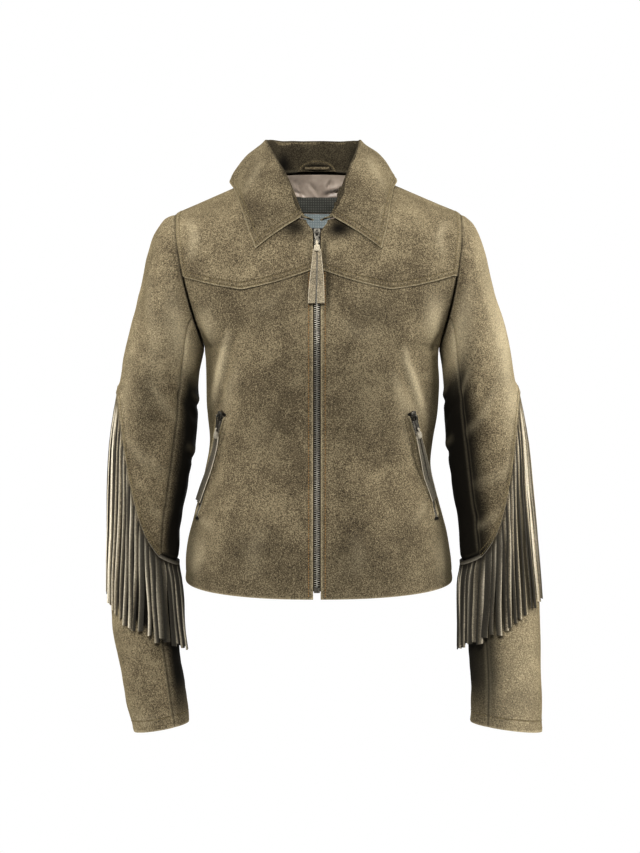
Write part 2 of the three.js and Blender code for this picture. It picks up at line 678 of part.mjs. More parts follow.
// One section of the collar: up the stand, over the roll and down the fall.
function collarSection(side, k) {
  const at = rowAt(collarRows, 'at', k);
  const base = neckSeam(k);
  const drawn = side > 0 ? readRow(collarRows, at, 'leftIn') * smooth(0, 0.3, k) : 0;
  const roll = point(side * (readRow(collarRows, at, 'rollX') - drawn),
    readRow(collarRows, at, 'rollY'), readRow(collarRows, at, 'rollZ'));
  const edge = collarEdge(side, k);
  const out = edge.clone().sub(roll);
  out.z *= 0.25;
  out.normalize();
  const foot = point(side * base.x, base.y, base.z + 1.9).addScaledVector(out, -0.9);
  const radius = rollRadius * (0.75 + 0.25 * smooth(0, 0.3, k));
  const inTop = roll.clone().addScaledVector(out, -radius * 0.6);
  inTop.z -= radius;
  const outTop = roll.clone().addScaledVector(out, radius * 1.3);
  outTop.z -= radius * 0.9;
  const list = [foot, foot.clone().lerp(inTop, 0.5), inTop, roll, outTop];
  const steps = 4;
  for (let i = 1; i <= steps; i += 1) {
    const t = i / steps;
    const p = outTop.clone().lerp(edge, t);
    const swell = (2 + 5 * smooth(0, 0.4, k)) * Math.sin(Math.PI * t);
    p.addScaledVector(out, swell * 0.8);
    p.z += swell * 0.5;
    list.push(p);
  }
  return list;
}

const collarStations = 28;

function collarGrid() {
  const grid = [];
  for (let i = 0; i <= collarStations; i += 1) {
    const s = i / collarStations * 2 - 1;
    const k = 1 - Math.abs(s);
    grid.push(collarSection(Math.sign(s) || 1, Math.min(k, 0.99999)));
  }
  return grid;
}

function gridNormals(grid) {
  const at = (i, j) => grid[clamp(i, 0, grid.length - 1)][clamp(j, 0, grid[0].length - 1)];
  return grid.map((row, i) => row.map((p, j) => {
    const du = at(i + 1, j).clone().sub(at(i - 1, j));
    const dv = at(i, j + 1).clone().sub(at(i, j - 1));
    return du.cross(dv).normalize();
  }));
}

function collarPiece() {
  const outer = collarGrid();
  const normals = gridNormals(outer);
  const probe = normals[Math.floor(outer.length / 2)][7];
  const turn = probe.y > 0 ? -1 : 1;
  const inner = outer.map((row, i) => row.map((p, j) => p.clone()
    .addScaledVector(normals[i][j], turn * collarWall)));
  return wallBetween(outer, inner);
}

// The first face of a piece met from a point, looking one way.
function onPiece(geometry, from, way) {
  const mesh = new THREE.Mesh(geometry, new THREE.MeshBasicMaterial({ side: THREE.DoubleSide }));
  const hit = new THREE.Raycaster(from, way).intersectObject(mesh)[0];
  return hit ? hit.point : null;
}

// Strips on the inside of the back neck are made from the piece behind them, moved in.
function insideBack(behind, halfWidth, topAt, bottom, thick, columns, rows) {
  const outer = [];
  const inner = [];
  for (let i = 0; i <= rows; i += 1) {
    const a = [];
    const b = [];
    for (let j = 0; j <= columns; j += 1) {
      const x = mixed(-halfWidth, halfWidth, j / columns);
      const z = mixed(bottom, topAt(x), i / rows);
      const p = onPiece(behind, point(x, 0, z), point(0, 1, 0));
      a.push(p.clone().add(point(0, -2 * seam, 0)));
      b.push(p.clone().add(point(0, -2 * seam - thick, 0)));
    }
    outer.push(a);
    inner.push(b);
  }
  return wallBetween(outer, inner);
}

// Small pieces on the inner face of the collar stand at the centre back.
function standStrip(halfWidth, low, high, depth, thick, columns, rounded) {
  const outer = [];
  const inner = [];
  for (let i = 0; i <= 3; i += 1) {
    const a = [];
    const b = [];
    for (let j = 0; j <= columns; j += 1) {
      const f = mixed(-1, 1, j / columns);
      const k = 1 - Math.abs(f) * halfWidth;
      const side = Math.sign(f) || 1;
      const section = collarSection(side, Math.min(k, 0.99999));
      const round = rounded ? Math.sqrt(Math.max(0.06, 1 - f * f)) : 1;
      const p = section[0].clone().lerp(section[2], mixed(low, mixed(low, high, round), i / 3));
      a.push(p.clone().add(point(0, -depth, 0)));
      b.push(p.clone().add(point(0, -depth - thick, 0)));
    }
    outer.push(a);
    inner.push(b);
  }
  return wallBetween(outer, inner);
}

function boxAt(width, deep, tall, centre, tilt = 0) {
  const geometry = new THREE.BoxGeometry(width, deep, tall);
  if (tilt) geometry.rotateX(tilt);
  geometry.translate(centre.x, centre.y, centre.z);
  return toManifold(merged(geometry));
}

function merged(geometry) {
  const p = geometry.attributes.position;
  const keys = new Map();
  const positions = [];
  const ids = [];
  for (let i = 0; i < p.count; i += 1) {
    const key = [p.getX(i), p.getY(i), p.getZ(i)].map((v) => Math.round(v * 1e4)).join(',');
    if (!keys.has(key)) {
      keys.set(key, positions.length / 3);
      positions.push(p.getX(i), p.getY(i), p.getZ(i));
    }
    ids.push(keys.get(key));
  }
  const index = Array.from(geometry.index.array, (k) => ids[k]);
  const result = new THREE.BufferGeometry();
  result.setAttribute('position', new THREE.Float32BufferAttribute(positions, 3));
  result.setIndex(index);
  return result;
}

// The centre front, read by height, with the direction that faces away from the body.
function centreFront(z) {
  const at = (h) => {
    if (h >= chestRows[0].z) return -readRow(chestRows, rowAt(chestRows, 'z', h), 'front');
    let low = 0;
    let high = bodyRows.length - 1;
    for (let k = 0; k < 24; k += 1) {
      const middle = (low + high) / 2;
      if (readRow(bodyRows, middle, 'z') - readRow(bodyRows, middle, 'drop') < h) low = middle;
      else high = middle;
    }
    return -readRow(bodyRows, low, 'front');
  };
  const slope = (at(z + 2) - at(z - 2)) / 4;
  return { p: point(0, at(z), z), n: point(0, -1, slope).normalize() };
}

function zipStrip(fromX, toX, top, bottom, out, thick, rows) {
  const outer = [];
  const inner = [];
  for (let i = 0; i <= rows; i += 1) {
    const { p, n } = centreFront(mixed(bottom, top, i / rows));
    const a = [fromX, toX].map((x) => {
      const y = Math.abs(x) > frontEdge ? onBody(x, p.z, -1).p.y : p.y;
      return point(x, y, p.z).addScaledVector(n, out);
    });
    inner.push(a);
    outer.push(a.map((q) => q.clone().addScaledVector(n, thick)));
  }
  return wallBetween(outer, inner);
}

const frontZip = { top: -61, bottom: -508, chain: 6.8, chainThick: 1.6, tape: 13, sunk: 2.1 };

// A frame on the cloth: origin, across, outward and up, for the parts of a zip pull.
function zipFrame(origin, out, up) {
  const across = out.clone().cross(up).normalize();
  const level = across.clone().cross(out).normalize();
  return new THREE.Matrix4().makeBasis(across, out, level).setPosition(origin);
}

function inFrame(frame, solid) {
  const geometry = fromManifold(solid);
  geometry.applyMatrix4(frame);
  return geometry;
}

const puller = { bodyWide: 8.6, bodyTall: 12, bodyThick: 2.6, bridge: 2, opening: 2.8,
  plate: 6.6, plateThick: 1.2, window: 3.6 };

// Slider body with a bridge for the pull. Local axes: x across, y outward, z up the zip.
function sliderBody() {
  const at = (x, y, z) => ({ x, y, z });
  const face = puller.bodyThick;
  const post = face + puller.opening / 2;
  const reach = puller.opening / 2 + 0.6;
  const solids = [
    boxAt(puller.bodyWide, puller.bodyThick, puller.bodyTall * 0.62, at(0, face / 2, 2)),
    boxAt(puller.bodyWide * 0.72, puller.bodyThick, puller.bodyTall, at(0, face / 2, 0)),
    boxAt(puller.bridge, puller.opening + 0.6, 1.2, at(0, post, reach)),
    boxAt(puller.bridge, puller.opening + 0.6, 1.2, at(0, post, -reach)),
    boxAt(puller.bridge, 1.2, reach * 2 + 1.2, at(0, face + puller.opening + 0.6, 0)),
  ];
  return joinAll(solids);
}

const pivotOut = puller.bodyThick + puller.opening / 2;

// Metal pull plate hanging from its cross bar, which lies at the local origin.
function pullPlate(length) {
  const at = (x, y, z) => ({ x, y, z });
  const plate = boxAt(puller.plate, puller.plateThick, length, at(0, 0, 0.6 - length / 2));
  const windowTall = 4.4;
  const window = boxAt(puller.window, 4, windowTall, at(0, 0, -0.6 - windowTall / 2));
  const slot = boxAt(3.6, 4, 2.4, at(0, 0, 0.6 - length + 2.8));
  return plate.subtract(window).subtract(slot);
}

// Leather pull: a strap looped through the plate's slot, a wrapped head and cut strands.
function leatherTassel(plateLength, strands) {
  const at = (x, y, z) => ({ x, y, z });
  const slotZ = 0.6 - plateLength + 2.8;
  const gap = puller.plateThick / 2 + seam;
  const solids = [
    boxAt(2.8, 1.3, 7.4, at(0, gap + 0.65, slotZ - 2.6)),
    boxAt(2.8, 1.3, 7.4, at(0, -gap - 0.65, slotZ - 2.6)),
    boxAt(2.8, 2 * gap + 2, 1.4, at(0, 0, slotZ + 0.3)),
    boxAt(7.4, 4.2, 8, at(0, 0, slotZ - 8.6)),
  ];
  return joinAll([...solids, ...strands]);
}

// Strands hang from the head along a path of local points.
function tasselStrand(path, width, thick) {
  const across = path.map(() => point(1, 0, 0));
  const outs = path.map(() => point(0, 1, 0));
  return toManifold(ribbon(path, across, outs, width, thick));
}

const pullSets = {
  front: { plate: 15, strand: 76, width: 5 },
  pocket: { plate: 20, strand: 92, width: 4.6 },
};

function frontPullFrame() {
  const z = frontZip.top - 8;
  const { p, n } = centreFront(z);
  const out = point(0, -1, n.z / -n.y).normalize();
  const chord = centreFront(-160).p.sub(centreFront(z).p).negate().normalize();
  const up = chord;
  const facing = point(0, -up.z, up.y).normalize();
  const origin = p.clone().addScaledVector(out, -frontZip.sunk + 1 + seam + frontZip.chainThick + seam);
  return { frame: zipFrame(origin, facing, up), origin, up, out: facing };
}

function pocketStation(side, t) {
  const x = mixed(pocketLine.topX, pocketLine.endX, t);
  const z = mixed(pocketLine.topZ, pocketLine.endZ, t);
  return { x: side * x, z };
}

function pocketStrip(front, side, half, out, thick, from, to, rows) {
  const outer = [];
  const inner = [];
  const seat = (t) => {
    const { x, z } = pocketStation(side, t);
    return onBody(x, z, -1);
  };
  for (let i = 0; i <= rows; i += 1) {
    const t = mixed(from, to, i / rows);
    const { p, n } = seat(t);
    const along = seat(t + 0.01).p.sub(seat(t - 0.01).p).normalize();
    const across = n.clone().cross(along).normalize();
    const a = [];
    const b = [];
    for (const w of [-half, 0, half]) {
      const above = p.clone().addScaledVector(across, w).addScaledVector(n, 12);
      const seatPoint = onPiece(front, above, n.clone().negate());
      b.push(seatPoint.clone().addScaledVector(n, out));
      a.push(seatPoint.clone().addScaledVector(n, out + thick));
    }
    outer.push(a);
    inner.push(b);
  }
  return wallBetween(outer, inner);
}

const pocketZip = { tape: 6.5, tapeThick: 1, chain: 2.9, chainThick: 1.4 };
const pocketChainOut = 2 * seam + pocketZip.tapeThick + seam;

function pocketPullFrame(side) {
  const a = pocketStation(side, 0.03);
  const b = pocketStation(side, 0.75);
  const top = onBody(a.x, a.z, -1);
  const low = onBody(b.x, b.z, -1);
  const up = top.p.clone().sub(low.p).normalize();
  const lift = pocketChainOut + pocketZip.chainThick + seam;
  const origin = top.p.clone().addScaledVector(top.n, lift);
  return { frame: zipFrame(origin, top.n, up), origin, up, out: top.n };
}

// How far the cloth falls away from a straight pull, so that the strands can follow it.
function strandPath(frame, plateLength, length, startX, endX, surface, clear) {
  const toLocal = frame.clone().invert();
  const from = -(plateLength + 6);
  const list = [];
  const steps = 5;
  for (let i = 0; i <= steps; i += 1) {
    const t = i / steps;
    const local = point(mixed(startX, endX, t ** 0.8), pivotOut, mixed(from, -plateLength - length, t));
    for (let k = 0; k < 8; k += 1) {
      const world = local.clone().applyMatrix4(frame);
      local.y = mixed(local.y, surface(world.x, world.z).applyMatrix4(toLocal).y, 0.6);
    }
    const level = local.y + clear;
    local.y = i === 0 ? pivotOut - 1 : Math.max(level, Math.min(pivotOut - 0.8, level + 6));
    list.push(local);
  }
  return list;
}

function movedOut(solid, out) {
  return solid.translate([0, out, 0]);
}

function pullSet(frame, set, surface, ends, clear) {
  const strands = ends.map((end) => tasselStrand(
    strandPath(frame, set.plate, set.strand, end.from, end.to, surface, clear), set.width, 1.6));
  return {
    slider: inFrame(frame, sliderBody()),
    pull: inFrame(frame, movedOut(pullPlate(set.plate), pivotOut)),
    tassel: inFrame(frame, joinAll([movedOut(leatherTassel(set.plate, []), pivotOut), ...strands])),
  };
}

const leather = new THREE.MeshStandardMaterial({ color: 0x6f644b, roughness: 0.95 });
const satin = new THREE.MeshStandardMaterial({ color: 0x91887a, roughness: 0.5 });
const darkTape = new THREE.MeshStandardMaterial({ color: 0x2f2a20, roughness: 0.9 });
const metal = new THREE.MeshStandardMaterial({ color: 0x8d897e, roughness: 0.4, metalness: 1 });
const labelCloth = new THREE.MeshStandardMaterial({ color: 0x30312d, roughness: 0.8 });

const group = new THREE.Group();
function add(name, geometry, material) {
  const mesh = new THREE.Mesh(geometry, material);
  mesh.name = name;
  group.add(mesh);
}

const sides = [{ name: 'right', sign: -1 }, { name: 'left', sign: 1 }];

const fronts = {};
for (const { name, sign } of sides) {
  fronts[name] = frontPanel(sign);
  add(`front_${name}`, fronts[name], leather);
  add(`yoke_${name}`, yokePanel(sign), leather);
}
const back = backPanel();
add('back', back, leather);
add('collar', collarPiece(), leather);

for (const { name, sign } of sides) {
  add(`sleeve_upper_top_${name}`, upperSleeve(sign, 'top'), leather);
  add(`sleeve_upper_under_${name}`, upperSleeve(sign, 'under'), leather);
  add(`sleeve_lower_top_${name}`, lowerSleeve(sign, 'top'), leather);
  add(`sleeve_lower_under_${name}`, lowerSleeve(sign, 'under'), leather);
  add(`fringe_${name}`, fringePiece(sign), leather);
}

const neckTop = (x) => mixed(neckPoint.z, neckBack.z, Math.sqrt(1 - (x / neckHalf) ** 2) ** 1.4) - 9;
const lining = insideBack(back, 51, neckTop, -74, 1, 12, 7);
add('lining_back', lining, satin);
add('neck_label', insideBack(lining, 32, () => -6, -25, 1, 6, 2), labelCloth);
add('size_label', insideBack(lining, 17, () => -27, -52, 1, 3, 2), labelCloth);

add('loop_facing', standStrip(0.095, 0.03, 0.42, 0.9, 1, 10, true), satin);
add('hanger_loop', standStrip(0.06, 0.1, 0.19, 2.5, 1.4, 6, false), satin);

add('zip_stop', zipStrip(-3.6, 3.6, frontZip.bottom + 4.6, frontZip.bottom - 2,
  -frontZip.sunk + seam, 2.4, 1), metal);
add('zip_tape_right', zipStrip(-frontZip.tape, -seam / 2, frontZip.top, frontZip.bottom,
  -suede - seam - 1 - 0.35, 1, 16), darkTape);
add('zip_tape_left', zipStrip(seam / 2, frontZip.tape, frontZip.top, frontZip.bottom,
  -suede - seam - 1 - 0.35, 1, 16), darkTape);
add('zip_chain', zipStrip(-frontZip.chain / 2, frontZip.chain / 2, frontZip.top - 1,
  frontZip.bottom + 5, -frontZip.sunk + seam, frontZip.chainThick, 16), metal);

const frontPull = frontPullFrame();
const onZip = (x, z) => {
  const { p } = centreFront(z);
  return point(x, p.y, z);
};
const frontSet = pullSet(frontPull.frame, pullSets.front, onZip,
  [{ from: -1.8, to: -5.2 }, { from: 1.8, to: 6.4 }], 2.4);
add('zip_slider', frontSet.slider, metal);
add('zip_pull', frontSet.pull, metal);
add('zip_tassel', frontSet.tassel, leather);

for (const { name, sign } of sides) {
  const front = fronts[name];
  add(`pocket_tape_${name}`, pocketStrip(front, sign, pocketZip.tape, 2 * seam, pocketZip.tapeThick, 0, 1, 12),
    darkTape);
  add(`pocket_chain_${name}`, pocketStrip(front, sign, pocketZip.chain, pocketChainOut, pocketZip.chainThick,
    0.02, 0.98, 12), metal);
  const pull = pocketPullFrame(sign);
  const onPocket = (x, z) => onBody(x, z, -1).p;
  const set = pullSet(pull.frame, pullSets.pocket, onPocket,
    [{ from: -2, to: -4 }, { from: 2, to: 4 }], 6.4);
  add(`pocket_slider_${name}`, set.slider, metal);
  add(`pocket_pull_${name}`, set.pull, metal);
  add(`pocket_tassel_${name}`, set.tassel, leather);
}

export default group;
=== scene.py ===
import math
import time

import bpy
import numpy as np
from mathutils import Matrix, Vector
from mathutils.bvhtree import BVHTree


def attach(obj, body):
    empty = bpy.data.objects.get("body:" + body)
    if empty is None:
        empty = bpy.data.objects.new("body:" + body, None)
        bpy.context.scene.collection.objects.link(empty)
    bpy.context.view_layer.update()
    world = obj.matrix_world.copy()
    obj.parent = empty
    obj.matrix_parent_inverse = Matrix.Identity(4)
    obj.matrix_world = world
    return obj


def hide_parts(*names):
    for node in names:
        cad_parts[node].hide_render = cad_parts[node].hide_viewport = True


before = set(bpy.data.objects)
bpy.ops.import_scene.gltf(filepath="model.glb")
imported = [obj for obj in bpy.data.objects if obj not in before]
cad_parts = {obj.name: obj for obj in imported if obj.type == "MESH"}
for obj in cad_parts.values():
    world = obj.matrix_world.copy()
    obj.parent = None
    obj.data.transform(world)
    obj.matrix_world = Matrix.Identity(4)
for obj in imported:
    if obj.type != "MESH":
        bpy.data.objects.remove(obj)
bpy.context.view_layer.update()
startTime = time.time()


def report(words):
    print(f"{time.time() - startTime:5.1f} s  {words}")


# Lengths are in millimetres until a mesh is made. -1 is the wearer's right side, 1 the left.
mm = 0.001
sideNames = {-1: "right", 1: "left"}

jacket = {
    "suede": 1.6,          # thickness of the leather
    "frontEdge": 4.6,      # how far each front stops from the centre line
    "lap": 9,              # how far a yoke covers the front below it
    "neckHalf": 78,
    "neckTurn": 0.62,      # share of the upper front rows that ends on the centre line
    "backNeck": 0.42,      # share of the back's top edge that is neckline
    "armDepth": 64,
    "armBow": 6,
    "swing": 0.91,         # how square the body's section is
    "shoulderReach": 56,   # degrees that the section still turns through at the shoulder
    "seamAngle": 125,      # where the two-piece sleeve's seams run, from the outer side
}
armpit = -206
neckPoint = {"y": 4, "z": 12}
neckFront = {"y": -88, "z": -51}
neckBack = {"y": 66, "z": 24}

bodyRows = {
    "z": [-500, -472, -443, -416, -385, -355, -324, -293, -262, -232, armpit],
    "left": [168, 167, 163, 156, 148, 140, 136, 139, 141, 142, 143],
    "right": [173, 171, 166, 159, 151, 145, 148, 153, 155, 155, 155],
    "front": [121, 118, 115, 112, 109, 107, 108, 111, 116, 121, 123],
    "back": [114, 112, 108, 103, 97, 93, 91, 93, 97, 101, 104],
    "drop": [18, 12, 6, 2, 0, 0, 0, 0, 0, 0, 0],
}
chestRows = {
    "z": [armpit, -160, -115, -80, -45, 24],
    "front": [123, 117, 107, 98, 86, 70],
    "back": [104, 106, 104, 97, 88, 66],
}
sleeveRows = {
    "outL": [181, 199, 214, 225, 235, 245, 253, 261, 264, 264, 264, 258, 247, 231],
    "outR": [184, 200, 212, 223, 236, 247, 256, 266, 272, 277, 281, 284, 284, 284],
    "outZ": [-34, -49, -78, -120, -166, -212, -262, -320, -385, -440, -500, -560, -622, -690],
    "inL": [143, 145.5, 148, 150, 151.5, 153, 155, 160, 168, 175, 178, 176, 169, 161],
    "inR": [155, 157.5, 159.5, 161, 162, 163, 165, 169, 175, 181, 186, 190, 194, 193],
    "inZ": [armpit, -213, -226, -242, -260, -284, -314, -352, -402, -450, -505, -562, -618, -678],
    "deep": [64, 66, 66, 65, 63, 61, 59, 56, 52, 50, 49, 47, 44, 41],
    "forward": [0, 0, 0, 1, 2, 3, 4, 6, 8, 12, 18, 25, 32, 40],
}
cuffRing = len(sleeveRows["outL"]) - 1
fringeSeam = {
    "angle": [0, 25, 45, 58, 70, 84, 98, 119, 150, 180],
    "z": [-258, -270, -302, -340, -380, -416, -442, -464, -474, -477],
}
yokeEdge = {"zipZ": -114, "pointX": 92, "pointZ": -138, "armX": 169, "armZ": -119}
collarRows = {
    "at": [0, 0.2, 0.35, 0.5, 0.65, 0.82, 1],
    "rollX": [18, 30, 50, 65, 63, 40, 0],
    "rollY": [-92, -82, -56, -10, 28, 62, 74],
    "rollZ": [-45, -15, 26, 57, 64, 67, 68],
    "edgeX": [75, 87, 97, 107, 99, 62, 0],
    "edgeZ": [-88, -57, -29, 0, 2, 5, 6],
    "leftIn": [-4, 0, 5, 10, 9, 4, 0],      # how much closer the wearer's left side stands
}
pocketLine = {"topX": 116, "topZ": -289, "endX": 150, "endZ": -424}


def mixed(a, b, t):
    return a + (b - a) * t


def smooth(a, b, v):
    t = np.clip((np.asarray(v, float) - a) / (b - a), 0, 1)
    return t * t * (3 - 2 * t)


def hump(distance, wide):
    return np.exp(-((distance / wide) ** 2))


# a smooth curve through points, read at places that are counted in points from the first
def curveAt(points, at):
    last = len(points) - 1
    at = np.asarray(at, float)
    shape = at.shape + (1,) * (points.ndim - 1)
    i = np.clip(np.floor(at).astype(int), 0, last - 1)
    t = (np.clip(at, 0, last) - i).reshape(shape)
    p1, p2 = points[i], points[i + 1]
    p0 = np.where((i > 0).reshape(shape), points[np.maximum(i - 1, 0)], 2 * p1 - p2)
    p3 = np.where((i + 2 <= last).reshape(shape), points[np.minimum(i + 2, last)], 2 * p2 - p1)
    a, b = (p2 - p0) / 2, (p3 - p1) / 2
    return p1 + a * t + (3 * (p2 - p1) - 2 * a - b) * t ** 2 + (a + b - 2 * (p2 - p1)) * t ** 3


def readRow(rows, at, key):
    return curveAt(np.asarray(rows[key], float), at)


def rowAt(rows, column, value):
    col = np.asarray(rows[column], float)
    steps = np.arange(len(col))
    if col[-1] < col[0]:
        return np.interp(value, col[::-1], steps[::-1])
    return np.interp(value, col, steps)


def vec(x, y, z):
    return np.stack(np.broadcast_arrays(x, y, z), axis=-1).astype(float)


def unit(a):
    return a / np.maximum(np.linalg.norm(a, axis=-1, keepdims=True), 1e-9)


# the armhole is the sleeve's first ring; angle 0 is the shoulder and pi the underarm
def armhole(side, angle, facing):
    out = np.where(side < 0, sleeveRows["outL"][0], sleeveRows["outR"][0])
    inside = np.where(side < 0, sleeveRows["inL"][0], sleeveRows["inR"][0])
    c, s = np.cos(angle), np.sin(angle)
    x = (out + inside) / 2 + (out - inside) / 2 * c + jacket["armBow"] * s * s
    z = mixed(sleeveRows["outZ"][0], sleeveRows["inZ"][0], (1 - c) / 2)
    return vec(side * x, facing * jacket["armDepth"] * np.abs(s) ** 0.92, z)


def neckCurve(share, facing):
    top = neckFront if facing < 0 else neckBack
    start = jacket["frontEdge"] if facing < 0 else 0
    a = np.asarray(share, float) * np.pi / 2
    cos = np.maximum(0, np.cos(a))
    return vec(start + (jacket["neckHalf"] - start) * np.abs(np.sin(a)) ** 0.9,
               neckPoint["y"] + (top["y"] - neckPoint["y"]) * cos,
               mixed(neckPoint["z"], top["z"], cos ** 1.4))


def centreLine(v, facing):
    front = facing < 0
    turn = jacket["neckTurn"]
    top = neckFront["z"] if front else neckBack["z"]
    z = mixed(chestRows["z"][0], top, np.clip(v / turn, 0, 1) if front else v)
    depth = readRow(chestRows, rowAt(chestRows, "z", z), "front" if front else "back")
    low = vec(jacket["frontEdge"] if front else 0.0, facing * depth, z)
    if not front:
        return low
    high = neckCurve(np.clip((v - turn) / (1 - turn), 0, 1), facing)
    return np.where((v > turn)[..., None], high, low)


# soft flutes of the body: where they lie (u, v), how wide, how long and how deep
bodyFolds = [
    {"u": 0.2, "v": -0.72, "wide": 0.1, "long": 0.34, "deep": 3.4, "facing": -1},
    {"u": 0.55, "v": -0.8, "wide": 0.1, "long": 0.3, "deep": 3.8, "facing": -1},
    {"u": 0.66, "v": -0.3, "wide": 0.05, "long": 0.28, "deep": -3.2, "facing": -1},
    {"u": 0.86, "v": -0.16, "wide": 0.08, "long": 0.14, "deep": -3, "facing": -1},
    {"u": 0.2, "v": -0.6, "wide": 0.12, "long": 0.4, "deep": 3.6, "facing": 1},
    {"u": 0.6, "v": -0.75, "wide": 0.12, "long": 0.3, "deep": 4, "facing": 1},
    {"u": 0.4, "v": -0.35, "wide": 0.1, "long": 0.26, "deep": -3, "facing": 1},
    {"u": 0.75, "v": 0.2, "wide": 0.1, "long": 0.3, "deep": -3, "facing": 1},
]


def foldDepth(u, v, facing):
    total = np.zeros(np.broadcast(u, v).shape)
    for f in bodyFolds:
        if f["facing"] == facing:
            along = np.clip(1 - ((v - f["v"]) / f["long"]) ** 2, 0, 1)
            total += f["deep"] * along ** 2 * hump(u - f["u"], f["wide"])
    return total * smooth(0, 0.12, u) * smooth(1, 0.9, u)


# The body's outer face. u runs from the centre to the side seam, v from the hem (-1) past the
# armpit (0) to the shoulder seam (1). facing is -1 for the front and 1 for the back.
def body(side, u, v, facing):
    side, u, v = np.broadcast_arrays(*(np.asarray(q, float) for q in (side, u, v)))
    swing = jacket["swing"]
    start = jacket["frontEdge"] if facing < 0 else 0
    at = (np.minimum(v, 0) + 1) * (len(bodyRows["z"]) - 1)
    half = np.where(side < 0, readRow(bodyRows, at, "left"), readRow(bodyRows, at, "right"))
    depth = readRow(bodyRows, at, "front" if facing < 0 else "back") + foldDepth(u, v, facing)
    sin = np.abs(np.sin(u * np.pi / 2)) ** swing
    cos = np.maximum(0, np.cos(u * np.pi / 2)) ** swing
    drop = readRow(bodyRows, at, "drop") * (1 if facing < 0 else 0.5)
    low = vec(side * mixed(start, half, sin), facing * depth * cos,
              readRow(bodyRows, at, "z") - drop * cos)
    up = np.clip(v, 0, 1)
    inner = centreLine(up, facing)
    outer = armhole(side, np.pi * (1 - up), facing)
    reach = mixed(90, jacket["shoulderReach"], smooth(0, 0.5, up)) * np.pi / 180
    sin = np.abs(np.sin(u * reach) / np.sin(reach)) ** swing
    cos = np.maximum(0, (np.cos(u * reach) - np.cos(reach)) / (1 - np.cos(reach))) ** swing
    y = mixed(outer[..., 1], inner[..., 1], cos) + facing * foldDepth(u, up, facing)
    high = vec(side * mixed(inner[..., 0], np.abs(outer[..., 0]), sin), y,
               mixed(inner[..., 2], outer[..., 2], sin))
    if facing > 0 and np.any(up > 0.3) and not np.all(v == 1):
        pull = (np.clip((up - 0.3) / 0.7, 0, 1) ** 3.5)[..., None]
        high = high + (topOfBack(side, u) - body(side, u, np.ones_like(u), 1)) * pull
    return np.where((v < 0)[..., None], low, high)


# the back's top edge: the neckline, then the shoulder seam that it shares with the front
def topOfBack(side, u):
    share = jacket["backNeck"]
    shoulder = body(side, np.clip((u - share) / (1 - share), 0, 1), np.ones_like(u), -1)
    neck = neckCurve(np.clip(u / share, 0, 1), 1)
    neck[..., 0] *= side
    return np.where((u > share)[..., None], shoulder, neck)


# creases that bending leaves at the elbow and under the arm
armCreases = [
    {"angle": 150, "t": 5.2, "tilt": 0.5, "long": 45, "wide": 0.22, "deep": -3},
    {"angle": 110, "t": 8.3, "tilt": 0.4, "long": 50, "wide": 0.2, "deep": -3.2},
    {"angle": 200, "t": 7.2, "tilt": -0.3, "long": 45, "wide": 0.22, "deep": -2.6},
    {"angle": 60, "t": 11.6, "tilt": 0.5, "long": 55, "wide": 0.24, "deep": -2.2},
]


def sleeve(side, angle, t):
    out = readRow(sleeveRows, t, "outL" if side < 0 else "outR")
    inside = readRow(sleeveRows, t, "inL" if side < 0 else "inR")
    c, s = np.cos(angle), np.sin(angle)
    bow = jacket["armBow"] * np.clip(1 - t / 3, 0, 1) * s * s
    squash = 0.92 + 0.04 * np.clip(t / 4, 0, 1)
    x = (out + inside) / 2 + (out - inside) / 2 * c + bow
    y = -np.sign(s) * readRow(sleeveRows, t, "deep") * np.abs(s) ** squash
    y = y - readRow(sleeveRows, t, "forward")
    z = mixed(readRow(sleeveRows, t, "outZ"), readRow(sleeveRows, t, "inZ"), (1 - c) / 2)
    more = np.zeros(np.broadcast(angle, t).shape)
    for row in armCreases:
        turn = (np.degrees(angle) - row["angle"] + 540) % 360 - 180
        along = np.clip(1 - (turn / row["long"]) ** 2, 0, 1)
        off = t - row["t"] - row["tilt"] * turn / 50
        more += row["deep"] * along ** 2 * hump(off, row["wide"])
    more = more * smooth(0.4, 1.4, t)
    return vec(side * (x + more * c), y - more * s, z)


# the place between low and high where isLow stops being true, found by halving
def halved(low, high, isLow):
    low, high = np.array(low, float), np.array(high, float)
    for _ in range(32):
        middle = (low + high) / 2
        below = isLow(middle)
        low = np.where(below, middle, low)
        high = np.where(below, high, middle)
    return (low + high) / 2


def yokeHeight(x):
    out = np.abs(x)
    t = np.clip((out - jacket["frontEdge"]) / (yokeEdge["pointX"] - jacket["frontEdge"]), 0, 1)
    near = mixed(yokeEdge["zipZ"], yokeEdge["pointZ"], t) - 2.5 * np.sin(np.pi * t)
    t = np.clip((out - yokeEdge["pointX"]) / (yokeEdge["armX"] - yokeEdge["pointX"]), 0, 1)
    far = mixed(yokeEdge["pointZ"], yokeEdge["armZ"], t) - 2 * np.sin(np.pi * t)
    return np.where(out < yokeEdge["pointX"], near, far)


def yokeRow(side, u, below=0.0):
    def isLow(v):
        p = body(side, u, v, -1)
        return p[..., 2] < yokeHeight(p[..., 0]) - below
    return halved(np.zeros_like(u), np.full_like(u, 0.9), isLow)


def fringeHeight(angle):
    a = np.abs(np.degrees(angle)) % 360
    a = np.where(a > 180, 360 - a, a)
    return readRow(fringeSeam, rowAt(fringeSeam, "angle", a), "z")


def fringeRing(side, angle, below=0.0):
    def isLow(t):
        return sleeve(side, angle, t)[..., 2] > fringeHeight(angle) - below
    return halved(np.full_like(angle, 3.0), np.full_like(angle, float(cuffRing)), isLow)


